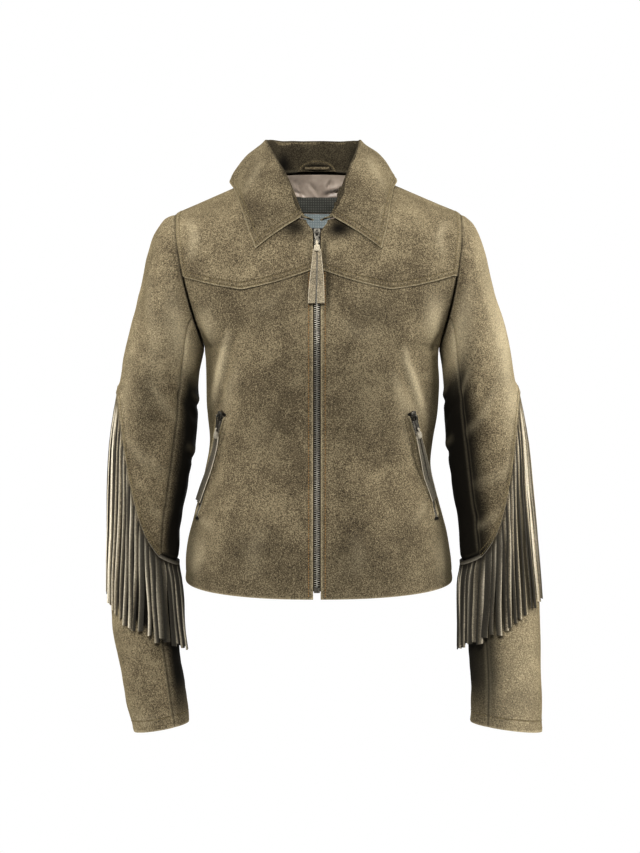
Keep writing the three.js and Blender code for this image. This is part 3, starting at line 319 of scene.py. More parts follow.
# The body's point at a place in x and z, and the way it faces there: a rough start is bettered
# step by step along the body's own slopes.
def onBody(x, z, facing):
    x, z = np.broadcast_arrays(np.asarray(x, float), np.asarray(z, float))
    side = np.where(x < 0, -1.0, 1.0)
    u = np.clip(np.abs(x) / 170, 0.02, 0.9)
    up = z - armpit
    v = np.where(up > 0, np.clip(up / 260, 0.02, 0.9), np.clip(up / 300, -0.95, -0.02))
    h = 1e-3
    for _ in range(22):
        p = body(side, u, v, facing)
        pu = (body(side, u + h, v, facing) - p) / h
        pv = (body(side, u, v + h, facing) - p) / h
        det = pu[..., 0] * pv[..., 2] - pv[..., 0] * pu[..., 2]
        dx, dz = x - p[..., 0], z - p[..., 2]
        u = np.clip(u + 0.8 * (dx * pv[..., 2] - dz * pv[..., 0]) / det, 0, 0.999)
        v = np.clip(v + 0.8 * (dz * pu[..., 0] - dx * pu[..., 2]) / det, -0.999, 0.999)
    p = body(side, u, v, facing)
    n = unit(np.cross(body(side, u + h, v, facing) - p, body(side, u, v + h, facing) - p))
    away = vec(p[..., 0] * 0.35, p[..., 1], np.where(v > 0, 40 * v, 0))
    return p, n * np.where(np.sum(n * away, -1) < 0, -1, 1)[..., None]


# sRGB hex to the linear values that shaders take
def colour(code):
    parts = [int(code[i:i + 2], 16) / 255 for i in (1, 3, 5)]
    return tuple(c / 12.92 if c <= 0.04045 else ((c + 0.055) / 1.055) ** 2.4 for c in parts) + (1.0,)


def addNode(tree, kind, links=None, stops=None, **settings):
    node = tree.nodes.new(kind)
    for key, value in settings.items():
        setattr(node, key, value)
    for key, value in (links or {}).items():
        if isinstance(value, bpy.types.NodeSocket):
            tree.links.new(value, node.inputs[key])
        else:
            node.inputs[key].default_value = value
    if stops:
        ramp = node.color_ramp
        for k, (position, code) in enumerate(stops):
            stop = ramp.elements[k] if k < 2 else ramp.elements.new(position)
            stop.position = position
            stop.color = colour(code)
    return node


def emptyMaterial(name):
    material = bpy.data.materials.new(name)
    material.use_nodes = True
    tree = material.node_tree
    tree.nodes.clear()
    place = addNode(tree, "ShaderNodeTexCoord").outputs["Object"]
    return material, tree, place


suedeLook = {
    "dark": "#3c342a", "middle": "#6b614e", "light": "#958a72",
    "worn": "#b8ad93",      # pale cut edges from wear, and painted highlights on fold ridges and spots
    "flat": "#15120d",      # painted shade: the dark colour that the shade attribute mixes in
    "frayed": 0.25,         # how solid the pale edge is
    "cloud": 48,            # how wide the brushed patches are, mm
    "patch": 16,
    "nap": 1.7,             # tufts of fibre; real ones are finer, this is what still shows
    "grit": 1.0,
}


# Sueded split leather, buffed on its flesh side: short fibres whose brushing leaves patches, so it is
# matt, lighter where they stand up, and pale where an edge was cut; fold ridges are pale, partly wear and
# partly painted highlight.
def suedeMaterial(name, look, stitches=True):
    material, tree, place = emptyMaterial(name)
    layers = []
    for key, detail, rough, squeeze in (("cloud", 3, 0.5, 0.4), ("patch", 3, 0.5, 0.3),
                                        ("nap", 2, 0.6, 0.0), ("grit", 1, 0.5, 0.0)):
        layers.append(addNode(tree, "ShaderNodeTexNoise", {
            "Vector": place, "Scale": 1000 / look[key], "Detail": detail, "Roughness": rough,
            "Distortion": squeeze}).outputs["Fac"])
    clouds, patches, nap, grit = layers
    tone = -1.57
    for layer, weight in ((clouds, 0.75), (patches, 0.34), (nap, 1.45), (grit, 1.6)):
        tone = addNode(tree, "ShaderNodeMath", {0: layer, 1: weight, 2: tone},
                       operation="MULTIPLY_ADD").outputs[0]
    base = addNode(tree, "ShaderNodeValToRGB", {"Fac": tone}, stops=[
        (0.04, look["dark"]), (0.5, look["middle"]), (0.86, look["light"])]).outputs["Color"]
    # painted shade: the shade attribute mixes the colour towards the dark flat colour
    shade = addNode(tree, "ShaderNodeAttribute", attribute_name="shade").outputs["Fac"]
    base = addNode(tree, "ShaderNodeMix", {0: shade, 6: base, 7: colour(look["flat"])},
                   data_type="RGBA").outputs[2]
    # pale mix: cut-edge wear, and painted highlights on ridges and spots
    worn = addNode(tree, "ShaderNodeAttribute", attribute_name="worn").outputs["Fac"]
    fibres = addNode(tree, "ShaderNodeMath", {0: nap, 1: look["frayed"]}, operation="ADD").outputs[0]
    worn = addNode(tree, "ShaderNodeMath", {0: worn, 1: fibres}, operation="MULTIPLY",
                   use_clamp=True).outputs[0]
    base = addNode(tree, "ShaderNodeMix", {0: worn, 6: base, 7: colour(look["worn"])},
                   data_type="RGBA").outputs[2]
    height = nap
    for layer, weight in ((grit, 0.6), (patches, 1.2)):
        height = addNode(tree, "ShaderNodeMath", {0: layer, 1: weight, 2: height},
                         operation="MULTIPLY_ADD").outputs[0]
    if stitches:
        dent = 0.0
        for key in ("rowA", "rowB", "rowC"):
            row = addNode(tree, "ShaderNodeAttribute", attribute_name=key).outputs["Fac"]
            off = addNode(tree, "ShaderNodeMath", {0: row}, operation="ABSOLUTE").outputs[0]
            groove = addNode(tree, "ShaderNodeMapRange", {
                "Value": off, "From Min": 0.0, "From Max": 1.5, "To Min": 1.0, "To Max": 0.0},
                interpolation_type="SMOOTHSTEP").outputs[0]
            dent = addNode(tree, "ShaderNodeMath", {0: groove, 1: dent},
                           operation="MAXIMUM").outputs[0]
        height = addNode(tree, "ShaderNodeMath", {0: dent, 1: -3.2, 2: height},
                         operation="MULTIPLY_ADD").outputs[0]
        darker = addNode(tree, "ShaderNodeMath", {0: dent, 1: 0.34}, operation="MULTIPLY").outputs[0]
        base = addNode(tree, "ShaderNodeMix", {0: darker, 6: base, 7: colour(look["dark"])},
                       data_type="RGBA").outputs[2]
    bump = addNode(tree, "ShaderNodeBump", {
        "Height": height, "Strength": 0.55, "Distance": 0.35 * mm}).outputs[0]
    # no sheen where shade is painted, so the painted shade stays dark
    unshaded = addNode(tree, "ShaderNodeMath", {0: 1.0, 1: shade}, operation="SUBTRACT",
                      use_clamp=True).outputs[0]
    sheen = addNode(tree, "ShaderNodeMath", {0: unshaded, 1: 0.3}, operation="MULTIPLY").outputs[0]
    skin = addNode(tree, "ShaderNodeBsdfPrincipled", {
        "Base Color": base, "Roughness": 0.96, "Normal": bump, "IOR": 1.45,
        "Specular IOR Level": 0.14, "Sheen Weight": sheen, "Sheen Roughness": 0.55,
        "Sheen Tint": colour("#cdbf98")})
    addNode(tree, "ShaderNodeOutputMaterial", {"Surface": skin.outputs[0]})
    return material


# Polyester satin lining: long floats that catch the light along folds, with a fine cross rib.
def satinMaterial(name, deep, pale, thread):
    material, tree, place = emptyMaterial(name)
    rib = addNode(tree, "ShaderNodeTexWave", {
        "Vector": place, "Scale": 1000 / thread / 20, "Distortion": 0.4, "Detail": 1.0},
        bands_direction="Z").outputs["Fac"]
    drift = addNode(tree, "ShaderNodeTexNoise", {
        "Vector": place, "Scale": 1000 / 18, "Detail": 3}).outputs["Fac"]
    base = addNode(tree, "ShaderNodeValToRGB", {"Fac": drift}, stops=[
        (0.3, deep), (0.7, pale)]).outputs["Color"]
    bump = addNode(tree, "ShaderNodeBump", {
        "Height": rib, "Strength": 0.25, "Distance": 0.1 * mm}).outputs[0]
    skin = addNode(tree, "ShaderNodeBsdfPrincipled", {
        "Base Color": base, "Roughness": 0.42, "Normal": bump, "Sheen Weight": 0.3,
        "Anisotropic": 0.5})
    addNode(tree, "ShaderNodeOutputMaterial", {"Surface": skin.outputs[0]})
    return material


# Woven polyester tape or label: a plain weave of round threads, matt between its ribs.
def wovenMaterial(name, deep, pale, thread):
    material, tree, place = emptyMaterial(name)
    parts = []
    for direction in ("X", "Z"):
        parts.append(addNode(tree, "ShaderNodeTexWave", {
            "Vector": place, "Scale": 1000 / thread / 20, "Distortion": 0.3},
            bands_direction=direction).outputs["Fac"])
    weave = addNode(tree, "ShaderNodeMath", {0: parts[0], 1: parts[1]},
                    operation="MULTIPLY").outputs[0]
    base = addNode(tree, "ShaderNodeValToRGB", {"Fac": weave}, stops=[
        (0.1, deep), (0.8, pale)]).outputs["Color"]
    bump = addNode(tree, "ShaderNodeBump", {
        "Height": weave, "Strength": 0.5, "Distance": 0.2 * mm}).outputs[0]
    skin = addNode(tree, "ShaderNodeBsdfPrincipled", {
        "Base Color": base, "Roughness": 0.85, "Normal": bump, "Specular IOR Level": 0.3})
    addNode(tree, "ShaderNodeOutputMaterial", {"Surface": skin.outputs[0]})
    return material


# Brass with an antique nickel plating, tumbled: grey and shiny on edges, darker in the hollows.
def antiqueNickel(name, deep, pale, rough, smoothed):
    material, tree, place = emptyMaterial(name)
    wear = addNode(tree, "ShaderNodeTexNoise", {
        "Vector": place, "Scale": 1000 / 2.5, "Detail": 4, "Roughness": 0.65}).outputs["Fac"]
    base = addNode(tree, "ShaderNodeValToRGB", {"Fac": wear}, stops=[
        (0.3, deep), (0.62, pale)]).outputs["Color"]
    roughness = addNode(tree, "ShaderNodeMapRange", {
        "Value": wear, "To Min": rough, "To Max": smoothed}).outputs[0]
    bump = addNode(tree, "ShaderNodeBump", {
        "Height": wear, "Strength": 0.2, "Distance": 0.1 * mm}).outputs[0]
    skin = addNode(tree, "ShaderNodeBsdfPrincipled", {
        "Base Color": base, "Metallic": 1.0, "Roughness": roughness, "Normal": bump})
    addNode(tree, "ShaderNodeOutputMaterial", {"Surface": skin.outputs[0]})
    return material


# Bonded polyester sewing thread: a twisted cord with a slight gloss.
def threadMaterial(name, deep, pale):
    material, tree, place = emptyMaterial(name)
    twist = addNode(tree, "ShaderNodeTexNoise", {
        "Vector": place, "Scale": 1000 / 1.2, "Detail": 1}).outputs["Fac"]
    base = addNode(tree, "ShaderNodeValToRGB", {"Fac": twist}, stops=[
        (0.35, deep), (0.65, pale)]).outputs["Color"]
    skin = addNode(tree, "ShaderNodeBsdfPrincipled", {"Base Color": base, "Roughness": 0.6})
    addNode(tree, "ShaderNodeOutputMaterial", {"Surface": skin.outputs[0]})
    return material


suede = suedeMaterial("sueded split leather, buffed", suedeLook)
# the strands' pale colour stands for frayed cut edges and painted highlights
tasselLook = dict(suedeLook, dark="#362f25", light="#9b907a", worn="#e2dac8", frayed=0.55, nap=1.5)
fringeSuede = suedeMaterial("sueded split leather, cut in strands", tasselLook, stitches=False)
satin = satinMaterial("polyester satin, woven", "#8b7f74", "#b3a699", 0.4)
labelDark = wovenMaterial("woven label, damask", "#4c4c47", "#6c6c65", 0.5)
labelPale = wovenMaterial("woven size label, taffeta", "#8d9697", "#aab2b2", 0.5)
tapeCloth = wovenMaterial("zip tape, woven polyester", "#1f1a12", "#41382a", 0.8)
metal = antiqueNickel("slider and pull, brass, antique nickel plated", "#302e2b", "#5f5c55", 0.6, 0.42)
teethMetal = antiqueNickel("zip teeth, brass, nickel plated", "#817d75", "#b4b0a6", 0.62, 0.5)
thread = threadMaterial("sewing thread, bonded polyester, olive", "#5d5136", "#8e8058")
zipThread = threadMaterial("sewing thread, bonded polyester, tan", "#7a5a30", "#a67f48")
report("materials")


# Each cloth is a grid of points: its columns go across or round the piece, its rows along it.
# More of them stand near both ends of a row than in the middle.
def packed(count, ease):
    s = np.linspace(0, 1, count + 1)
    return s - ease * np.sin(2 * np.pi * s) / (2 * np.pi)


def gridNormals(grid, away):
    n = unit(np.cross(np.gradient(grid, axis=1), np.gradient(grid, axis=0)))
    return n * np.sign(np.mean(np.sum(n * away, axis=-1)))


def arcs(grid, axis):
    step = np.linalg.norm(np.diff(grid, axis=axis), axis=-1)
    zero = np.zeros_like(np.take(step, [0], axis=axis))
    return np.concatenate([zero, np.cumsum(step, axis=axis)], axis=axis)


# how far each point of a grid is from the nearest of the edges named
def toEdge(grid, edges):
    u, v = arcs(grid, 1), arcs(grid, 0)
    ways = {"start": u, "end": u[:, -1:] - u, "low": v, "high": v[-1:] - v}
    if not edges:
        return np.full(grid.shape[:2], 99.0)
    return np.min([ways[e] for e in edges], axis=0)


def relaxed(grid, passes):
    for _ in range(passes):
        middle = (grid[:-2, 1:-1] + grid[2:, 1:-1] + grid[1:-1, :-2] + grid[1:-1, 2:]) / 4
        grid = grid.copy()
        grid[1:-1, 1:-1] = mixed(grid[1:-1, 1:-1], middle, 0.5)
    return grid


def quadMesh(name, points, faces, material, sharp=0.7):
    points = np.asarray(points, float).reshape(-1, 3) * mm
    faces = np.asarray(faces, int).reshape(-1, 4)
    corners = points[faces]
    volume = np.einsum("ij,ij->i", corners[:, 0], np.cross(corners[:, 1], corners[:, 2])).sum()
    volume += np.einsum("ij,ij->i", corners[:, 0], np.cross(corners[:, 2], corners[:, 3])).sum()
    if volume < 0:
        faces = faces[:, ::-1]
    mesh = bpy.data.meshes.new(name)
    mesh.vertices.add(len(points))
    mesh.vertices.foreach_set("co", points.ravel())
    mesh.loops.add(faces.size)
    mesh.loops.foreach_set("vertex_index", faces.ravel().astype(np.int32))
    mesh.polygons.add(len(faces))
    mesh.polygons.foreach_set("loop_start", np.arange(0, faces.size, 4, dtype=np.int32))
    mesh.polygons.foreach_set("use_smooth", np.ones(len(faces), bool))
    mesh.update(calc_edges=True)
    mesh.validate()
    mesh.set_sharp_from_angle(angle=sharp)
    mesh.materials.append(material)
    piece = bpy.data.objects.new(name, mesh)
    bpy.context.scene.collection.objects.link(piece)
    return piece


# values that a material reads; both faces of a wall take the same ones
def spareValues(piece, **layers):
    for key, values in layers.items():
        layer = piece.data.attributes.new(key, "FLOAT", "POINT")
        layer.data.foreach_set("value", np.resize(np.asarray(values, np.float32), len(layer.data)))


# a cloth with two faces and a rim all round
def wallMesh(name, outer, inner, material):
    rows, cols = outer.shape[:2]
    ids = np.arange(rows * cols).reshape(rows, cols)
    shift = rows * cols
    a, b, c, d = ids[:-1, :-1], ids[:-1, 1:], ids[1:, 1:], ids[1:, :-1]
    faces = [np.stack([a, b, c, d], -1).reshape(-1, 4),
             np.stack([a, d, c, b], -1).reshape(-1, 4) + shift]
    for line, turned in ((ids[0], False), (ids[-1], True), (ids[:, 0], True), (ids[:, -1], False)):
        p, q = line[:-1], line[1:]
        quads = np.stack([p, p + shift, q + shift, q], -1)
        faces.append(quads[:, ::-1] if turned else quads)
    points = np.concatenate([outer.reshape(-1, 3), inner.reshape(-1, 3)])
    return quadMesh(name, points, np.concatenate(faces), material)


def settle(piece, node, bodyName="jacket"):
    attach(piece, bodyName)
    if node:
        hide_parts(node)


flatSizes = {}


def declareCloth(piece, grid):
    u, v = arcs(grid, 1), arcs(grid, 0)
    across = np.cross(grid[1:, 1:] - grid[:-1, :-1], grid[1:, :-1] - grid[:-1, 1:])
    area = float(np.linalg.norm(across, axis=-1).sum() / 2) * mm * mm
    width, length = float(u[:, -1].max()) * mm, float(v[-1].max()) * mm
    area = min(max(area, 0.31 * width * length), width * length)
    flatSizes[piece.name] = [round(width, 3), round(length, 3), round(area, 4)]


# Creases are listed one by one, each a path of flat points, a width, a depth and how pale its ridge is,
# partly from wear and partly painted highlight: a trough with a ridge beside it.
def creaseHeights(flat, creases):
    height = np.zeros(flat.shape[:2])
    rubbedAndHighlit = np.zeros(flat.shape[:2])
    for path, wide, deep, rubAndHighlight in creases:
        line = np.asarray(path, float)
        lengths = np.linalg.norm(np.diff(line, axis=0), axis=1)
        starts = np.concatenate([[0], np.cumsum(lengths)])
        best = np.full(flat.shape[:2], 1e9)
        along, offset = np.zeros_like(best), np.zeros_like(best)
        for k, (a, b) in enumerate(zip(line[:-1], line[1:])):
            d = b - a
            t = np.clip(((flat - a) @ d) / (d @ d), 0, 1)
            off = flat - (a + t[..., None] * d)
            distance = np.linalg.norm(off, axis=-1)
            turn = np.sign(off[..., 0] * d[1] - off[..., 1] * d[0])
            nearer = distance < best
            best = np.where(nearer, distance, best)
            offset = np.where(nearer, distance * turn, offset)
            along = np.where(nearer, (starts[k] + t * lengths[k]) / starts[-1], along)
        taper = np.sin(np.pi * np.clip(along, 0.0, 1.0)) ** 0.7 * hump(best, wide * 3.5)
        ridge = hump(offset - 1.7 * wide, 1.2 * wide)
        height += deep * taper * (0.75 * ridge - hump(offset, wide))
        # the ridge beside the trough is painted pale: partly wear, partly painted highlight
        rubbedAndHighlit += rubAndHighlight * taper * hump(offset - 1.5 * wide, 0.8 * wide)
    return height, rubbedAndHighlit


# gentle rises and hollows: waves that run in all directions
def uneven(points, seed, size, deep):
    random = np.random.default_rng(seed)
    total = np.zeros(points.shape[:-1])
    for _ in range(8):
        way = unit(random.normal(size=3))
        length = size * random.uniform(0.6, 1.5)
        total += np.sin(points @ way * 2 * np.pi / length + random.uniform(0, 6.3))
    return total * deep / 8 ** 0.5


stitchLines = {"olive": [], "tan": []}
stitchRows = (2.4, 8.2)     # how far the two rows of a double seam are from the edge


def lengthAlong(points):
    return np.concatenate([[0], np.cumsum(np.linalg.norm(np.diff(points, axis=0), axis=1))])


def readAlong(values, lengths, at):
    return np.stack([np.interp(at, lengths, values[:, q]) for q in range(3)], -1)


# a line on the cloth at a set distance from one of its edges, with the cloth's direction there
def lineAlong(grid, normals, edge, offset):
    if edge in ("start", "end"):
        grid, normals = grid.transpose(1, 0, 2), normals.transpose(1, 0, 2)
    if edge in ("end", "high"):
        grid, normals = grid[::-1], normals[::-1]
    v = arcs(grid, 0)
    points, outs = [], []
    for j in range(grid.shape[1]):
        i = np.interp(offset, v[:, j], np.arange(len(v)))
        low = min(int(i), len(v) - 2)
        points.append(mixed(grid[low, j], grid[low + 1, j], i - low))
        outs.append(mixed(normals[low, j], normals[low + 1, j], i - low))
    points, outs = np.array(points), unit(np.array(outs))
    s = lengthAlong(points)
    inside = (s >= 2) & (s <= s[-1] - 2)
    return points[inside], outs[inside]


# A sewn piece of cloth or leather. Its look names the edges that are joined to a neighbour,
# cut, or sewn with one or two rows, and holds its creases, its wear, its painted highlights and its
# painted shade.
def clothPiece(name, node, grid, away, look, material=suede, wall=jacket["suede"], flat=None):
    normals = gridNormals(grid, away)
    flat = grid[..., [0, 2]] if flat is None else flat
    joined, cut, double, single = (toEdge(grid, look.get(key, []))
                                   for key in ("joined", "cut", "double", "single"))
    height, rubbedAndHighlit = creaseHeights(flat, look.get("creases", []))
    fixed = smooth(0, 16, toEdge(grid, ["start", "end", "low", "high"]))
    height = height * mixed(0.35, 1, fixed)
    seed, size, deep = look["uneven"]
    small = uneven(grid, seed + 50, size / 3.2, deep * 0.28)
    height += (uneven(grid, seed, size, deep) + small) * fixed
    height -= look.get("sewnDip", 1.7) * hump(joined, 3.0)
    height -= 0.5 * hump(cut, 0.8)
    for edge, offset, wide, deep in look.get("channels", []):
        height -= deep * hump(toEdge(grid, [edge]) - offset, wide)
    outer = grid + normals * height[..., None]
    normals = gridNormals(outer, away)
    inner = outer - normals * wall
    piece = wallMesh(name, outer, inner, material)
    # painted shade in the seam grooves; pale at cut edges from wear, with painted highlights beside the
    # seams, on crease ridges and at spots
    shade = look.get("shade", 0) + 0.4 * hump(joined, 1.8)
    worn = 0.5 * hump(cut, 1.6) + rubbedAndHighlit
    worn = worn + 0.15 * hump(joined - 2.5, 1.5) + look.get("rubbedAndHighlit", 0)
    spareValues(piece, rowA=double - stitchRows[0], rowB=double - stitchRows[1],
                rowC=single - look.get("singleAt", 8), worn=np.clip(worn, 0, 1),
                shade=np.clip(shade, 0, 1))
    for edge in look.get("double", []):
        for offset in stitchRows:
            stitchLines["olive"].append(lineAlong(outer, normals, edge, offset))
    for edge in look.get("single", []):
        spool = look.get("singleSpool", "olive")
        stitchLines[spool].append(lineAlong(outer, normals, edge, look["singleAt"]))
    settle(piece, node)
    declareCloth(piece, outer)
    return outer, inner


def bodyAway(grid, v):
    return vec(grid[..., 0] * 0.35, grid[..., 1], 40 * np.clip(v, 0, 1))


frontMake = {"single": ["start"], "singleAt": 5.6, "singleSpool": "tan", "joined": ["end"],
             "cut": ["low", "start"], "channels": [("low", 10, 1.6, 0.5)]}
frontLook = {
    -1: {"uneven": (11, 105, 1.0), "creases": [
             ([(-100, -188), (-107, -212), (-115, -240), (-122, -268), (-127, -290)], 5.5, 3.6, 1.0),
             ([(-152, -182), (-144, -196), (-134, -212)], 4.5, 2.2, 0.7),
             ([(-84, -236), (-96, -262), (-104, -292)], 9, 1.3, 0.3),
             ([(-150, -392), (-136, -414), (-118, -430)], 8, 1.6, 0.3),
             ([(-128, -448), (-134, -474), (-146, -496)], 9, 1.8, 0.3),
             ([(-52, -428), (-60, -462), (-58, -496)], 12, 1.2, 0.2),
             ([(-28, -150), (-50, -172), (-82, -180)], 12, 1.0, 0.15)]},
    1: {"uneven": (12, 105, 1.0), "creases": [
            ([(129, -300), (122, -276), (113, -252), (104, -228), (100, -206)], 5.5, 3.6, 1.0),
            ([(140, -216), (147, -203), (154, -192)], 4.5, 2.6, 0.7),
            ([(96, -292), (88, -262), (80, -240)], 9, 1.1, 0.3),
            ([(152, -400), (140, -420), (122, -438)], 8, 1.5, 0.25),
            ([(62, -430), (68, -462), (62, -498)], 12, 1.2, 0.2),
            ([(30, -158), (56, -176), (86, -182)], 12, 0.9, 0.15)]},
}
yokeMake = {"double": ["low", "end"], "cut": ["low"], "joined": ["end", "high"]}
yokeLook = {
    -1: {"uneven": (21, 80, 0.7), "creases": [([(-150, -40), (-140, -70), (-146, -104)], 8, 1.2, 0.5)]},
    1: {"uneven": (22, 80, 0.7), "creases": [([(146, -98), (140, -70), (152, -42)], 8, 1.2, 0.5)]},
}
# painted light on the fronts round these points: a painted shadow beside the tassel, painted highlights,
# and darker patches
bodySpots = {
    -1: [{"x": -12, "z": -138, "wide": 4, "long": 32, "shade": 0.35},
         {"x": -141, "z": -186, "wide": 13, "long": 24, "rubAndHighlight": 0.55},
         {"x": -160, "z": -468, "wide": 12, "long": 32, "rubAndHighlight": 0.4},
         {"x": -64, "z": -170, "wide": 34, "long": 24, "shade": 0.12},
         {"x": -60, "z": -318, "wide": 26, "long": 36, "shade": 0.14},
         {"x": -86, "z": -452, "wide": 30, "long": 26, "shade": 0.16}],
    1: [{"x": 13, "z": -138, "wide": 4, "long": 34, "shade": 0.6},
        {"x": 147, "z": -172, "wide": 13, "long": 28, "rubAndHighlight": 0.6},
        {"x": 163, "z": -470, "wide": 12, "long": 34, "rubAndHighlight": 0.42},
        {"x": 72, "z": -172, "wide": 30, "long": 28, "shade": 0.24},
        {"x": 68, "z": -268, "wide": 34, "long": 40, "shade": 0.14},
        {"x": 40, "z": -470, "wide": 26, "long": 24, "shade": 0.14},
        {"x": 116, "z": -300, "wide": 12, "long": 30, "rubAndHighlight": 0.3}],
}
fronts = {}
for side in (-1, 1):
    u = packed(66, 0.35) * 0.9993
    top = yokeRow(side, u, -jacket["lap"])
    s = packed(124, 0.3)[:, None]
    share = 0.76
    v = np.where(s < share, -1 + s / share, (s - share) / (1 - share) * top[None])
    grid = relaxed(body(side, u[None], v, -1), 5)
    # a little darker all over, painted shade towards the hem, and a little darker on the wearer's left
    shade = 0.12 + 0.14 * smooth(-390, -490, grid[..., 2]) + 0.05 * (side > 0)
    rubAndHighlight = np.zeros_like(shade)
    for spot in bodySpots[side]:
        shape = hump(np.hypot((grid[..., 0] - spot["x"]) / spot["wide"],
                              (grid[..., 2] - spot["z"]) / spot["long"]), 1)
        shade = shade + spot.get("shade", 0) * shape
        rubAndHighlight = rubAndHighlight + spot.get("rubAndHighlight", 0) * shape
    name = f"front_{sideNames[side]}"
    look = dict(frontMake, **frontLook[side], shade=shade, rubbedAndHighlit=rubAndHighlight)
    fronts[side], _ = clothPiece(f"{name}_suede", name, grid, bodyAway(grid, v), look)
    u = packed(60, 0.35) * 0.995
    s = packed(52, 0.4)[:, None]
    v = mixed(yokeRow(side, u)[None], 0.9993, s)
    grid = relaxed(body(side, u[None], v, -1), 3)
    lift = (jacket["suede"] + 0.5) * (1 - smooth(0.3, 0.8, s)) * np.ones_like(v)
    grid = grid + gridNormals(grid, bodyAway(grid, v)) * lift[..., None]
    # painted shadow below the collar's point, and a painted shadow beside the zip where the tassel hangs
    under = np.hypot((grid[..., 0] - side * 27) / 19, (grid[..., 2] + 61 + side) / 12)
    # the corner at the top of the zip is drawn out, so both make a V
    corner = smooth(-67, -52, grid[..., 2]) * smooth(26, 6, np.abs(grid[..., 0]))
    grid = grid + vec(side * 8.5, 1.5, 0) * corner[..., None]
    beside = hump(np.abs(grid[..., 0]) - 9, 4) * smooth(-72, -84, grid[..., 2])
    shade = 0.08 + 0.05 * side + 0.9 * hump(under, 1) + (0.4 + 0.15 * side) * beside
    name = f"yoke_{sideNames[side]}"
    look = dict(yokeMake, **yokeLook[side], shade=shade)
    clothPiece(f"{name}_suede", name, grid, bodyAway(grid, v), look)
report("fronts and yokes")

backLook = {
    "uneven": (31, 120, 1.5), "joined": ["start", "end"], "cut": ["low"],
    "channels": [("low", 10, 1.6, 0.5)],
    "creases": [
        ([(-120, -150), (-96, -190), (-60, -214), (-20, -222)], 9, 2.4, 0.5),
        ([(20, -232), (64, -220), (100, -188), (122, -152)], 9, 2.2, 0.5),
        ([(-112, -300), (-60, -318), (0, -322), (52, -312)], 10, 2.0, 0.5),
        ([(-40, -352), (20, -360), (74, -350), (116, -330)], 9, 1.8, 0.5),
        ([(-142, -82), (-118, -104), (-104, -136)], 7, 2.0, 0.5),
        ([(104, -132), (120, -104), (144, -78)], 7, 2.0, 0.5),
        ([(-70, -400), (-84, -440), (-78, -484)], 12, 1.8, 0.5),
        ([(66, -392), (82, -440), (74, -486)], 12, 1.8, 0.5)],
}
half = np.concatenate([jacket["backNeck"] * np.linspace(0, 1, 25)[1:],
                       jacket["backNeck"] + (0.9993 - jacket["backNeck"]) * np.linspace(0, 1, 49)[1:]])
u = np.concatenate([-half[::-1], [0], half])
s = packed(150, 0.3)[:, None]
v = -1 + s * 1.9997
grid = relaxed(body(np.where(u < 0, -1, 1)[None], np.abs(u)[None], v, 1), 5)
_, backInside = clothPiece("back_suede", "back", grid, bodyAway(grid, v), backLook)
report("back")

sleeveMake = {
    ("upper", "top"): {"double": ["high"], "cut": ["high"], "joined": ["low", "start", "end"]},
    ("upper", "under"): {"joined": ["low", "start", "end", "high"]},
    ("lower", "top"): {"joined": ["start", "end"], "cut": ["high"], "single": ["high"], "singleAt": 14},
}
sleeveMake["lower", "under"] = sleeveMake["lower", "top"]
# here a crease's points are millimetres round from the outer line, and down
sleeveLook = {
    ("upper", "top", -1): {
        "uneven": (41, 85, 1.1), "creases": [
            ([(60, 150), (92, 176), (128, 190)], 9, 2.2, 0.3),
            ([(34, 226), (70, 252), (120, 262)], 10, 2.0, 0.3),
            ([(96, 112), (114, 134), (140, 146)], 7, 2.4, 0.4),
            ([(20, 60), (44, 96), (58, 140)], 14, 1.6, 0.2),
            ([(78, 300), (104, 316), (138, 318)], 8, 1.8, 0.3),
            ([(-110, 160), (-70, 190), (-30, 196)], 10, 2.0, 0.3),
            ([(-130, 250), (-86, 262), (-44, 254)], 10, 2.0, 0.3)]},
    ("upper", "top", 1): {
        "uneven": (42, 85, 1.1), "creases": [
            ([(132, 184), (96, 170), (64, 142)], 9, 2.2, 0.3),
            ([(118, 250), (76, 244), (40, 222)], 10, 1.8, 0.3),
            ([(142, 138), (118, 122), (102, 100)], 7, 2.4, 0.4),
            ([(60, 150), (46, 110), (26, 70)], 14, 1.6, 0.2),
            ([(132, 310), (104, 304), (76, 286)], 8, 1.8, 0.3),
            ([(-40, 190), (-76, 184), (-112, 158)], 10, 2.0, 0.3),
            ([(-50, 250), (-90, 262), (-132, 246)], 10, 2.0, 0.3)]},
    ("upper", "under", -1): {
        "uneven": (43, 70, 1.2),
        "creases": [([(-30, 120), (0, 132), (34, 124)], 7, 2.0, 0.5),
                    ([(-34, 212), (4, 220), (34, 206)], 7, 2.0, 0.5)]},
    ("upper", "under", 1): {
        "uneven": (44, 70, 1.2),
        "creases": [([(-34, 108), (0, 122), (34, 116)], 7, 2.0, 0.5),
                    ([(-34, 196), (4, 210), (34, 202)], 7, 2.0, 0.5)]},
    ("lower", "top", -1): {
        "uneven": (45, 80, 0.9), "creases": [
            ([(20, 560), (56, 574), (92, 570)], 8, 1.8, 0.3),
            ([(40, 612), (72, 622), (100, 612)], 8, 1.5, 0.3)]},
    ("lower", "top", 1): {
        "uneven": (46, 80, 0.9), "creases": [
            ([(92, 566), (58, 580), (22, 572)], 8, 1.6, 0.3),
            ([(100, 618), (70, 626), (40, 616)], 8, 1.5, 0.3)]},
    ("lower", "under", -1): {"uneven": (47, 70, 0.9)},
    ("lower", "under", 1): {"uneven": (48, 70, 0.9)},
}
fringe = {"strands": 42, "width": 6.5, "share": 0.9, "steps": 12, "strip": 5.5,
          "outerEnd": -512, "innerEnd": -587, "thick": 1.5, "curl": 0.9,
          # how far the strands differ: in width, in their ends, and in how they hang
          "uneven": 0.55, "waver": 9, "slant": 5, "standOff": 5.5, "lean": 5.5, "sway": 3.2,
          "inward": 2.5}
sleeveEdge = {"overlap": 4.5, "lift": 3.0}   # the upper sleeve laps over the fringe's strip
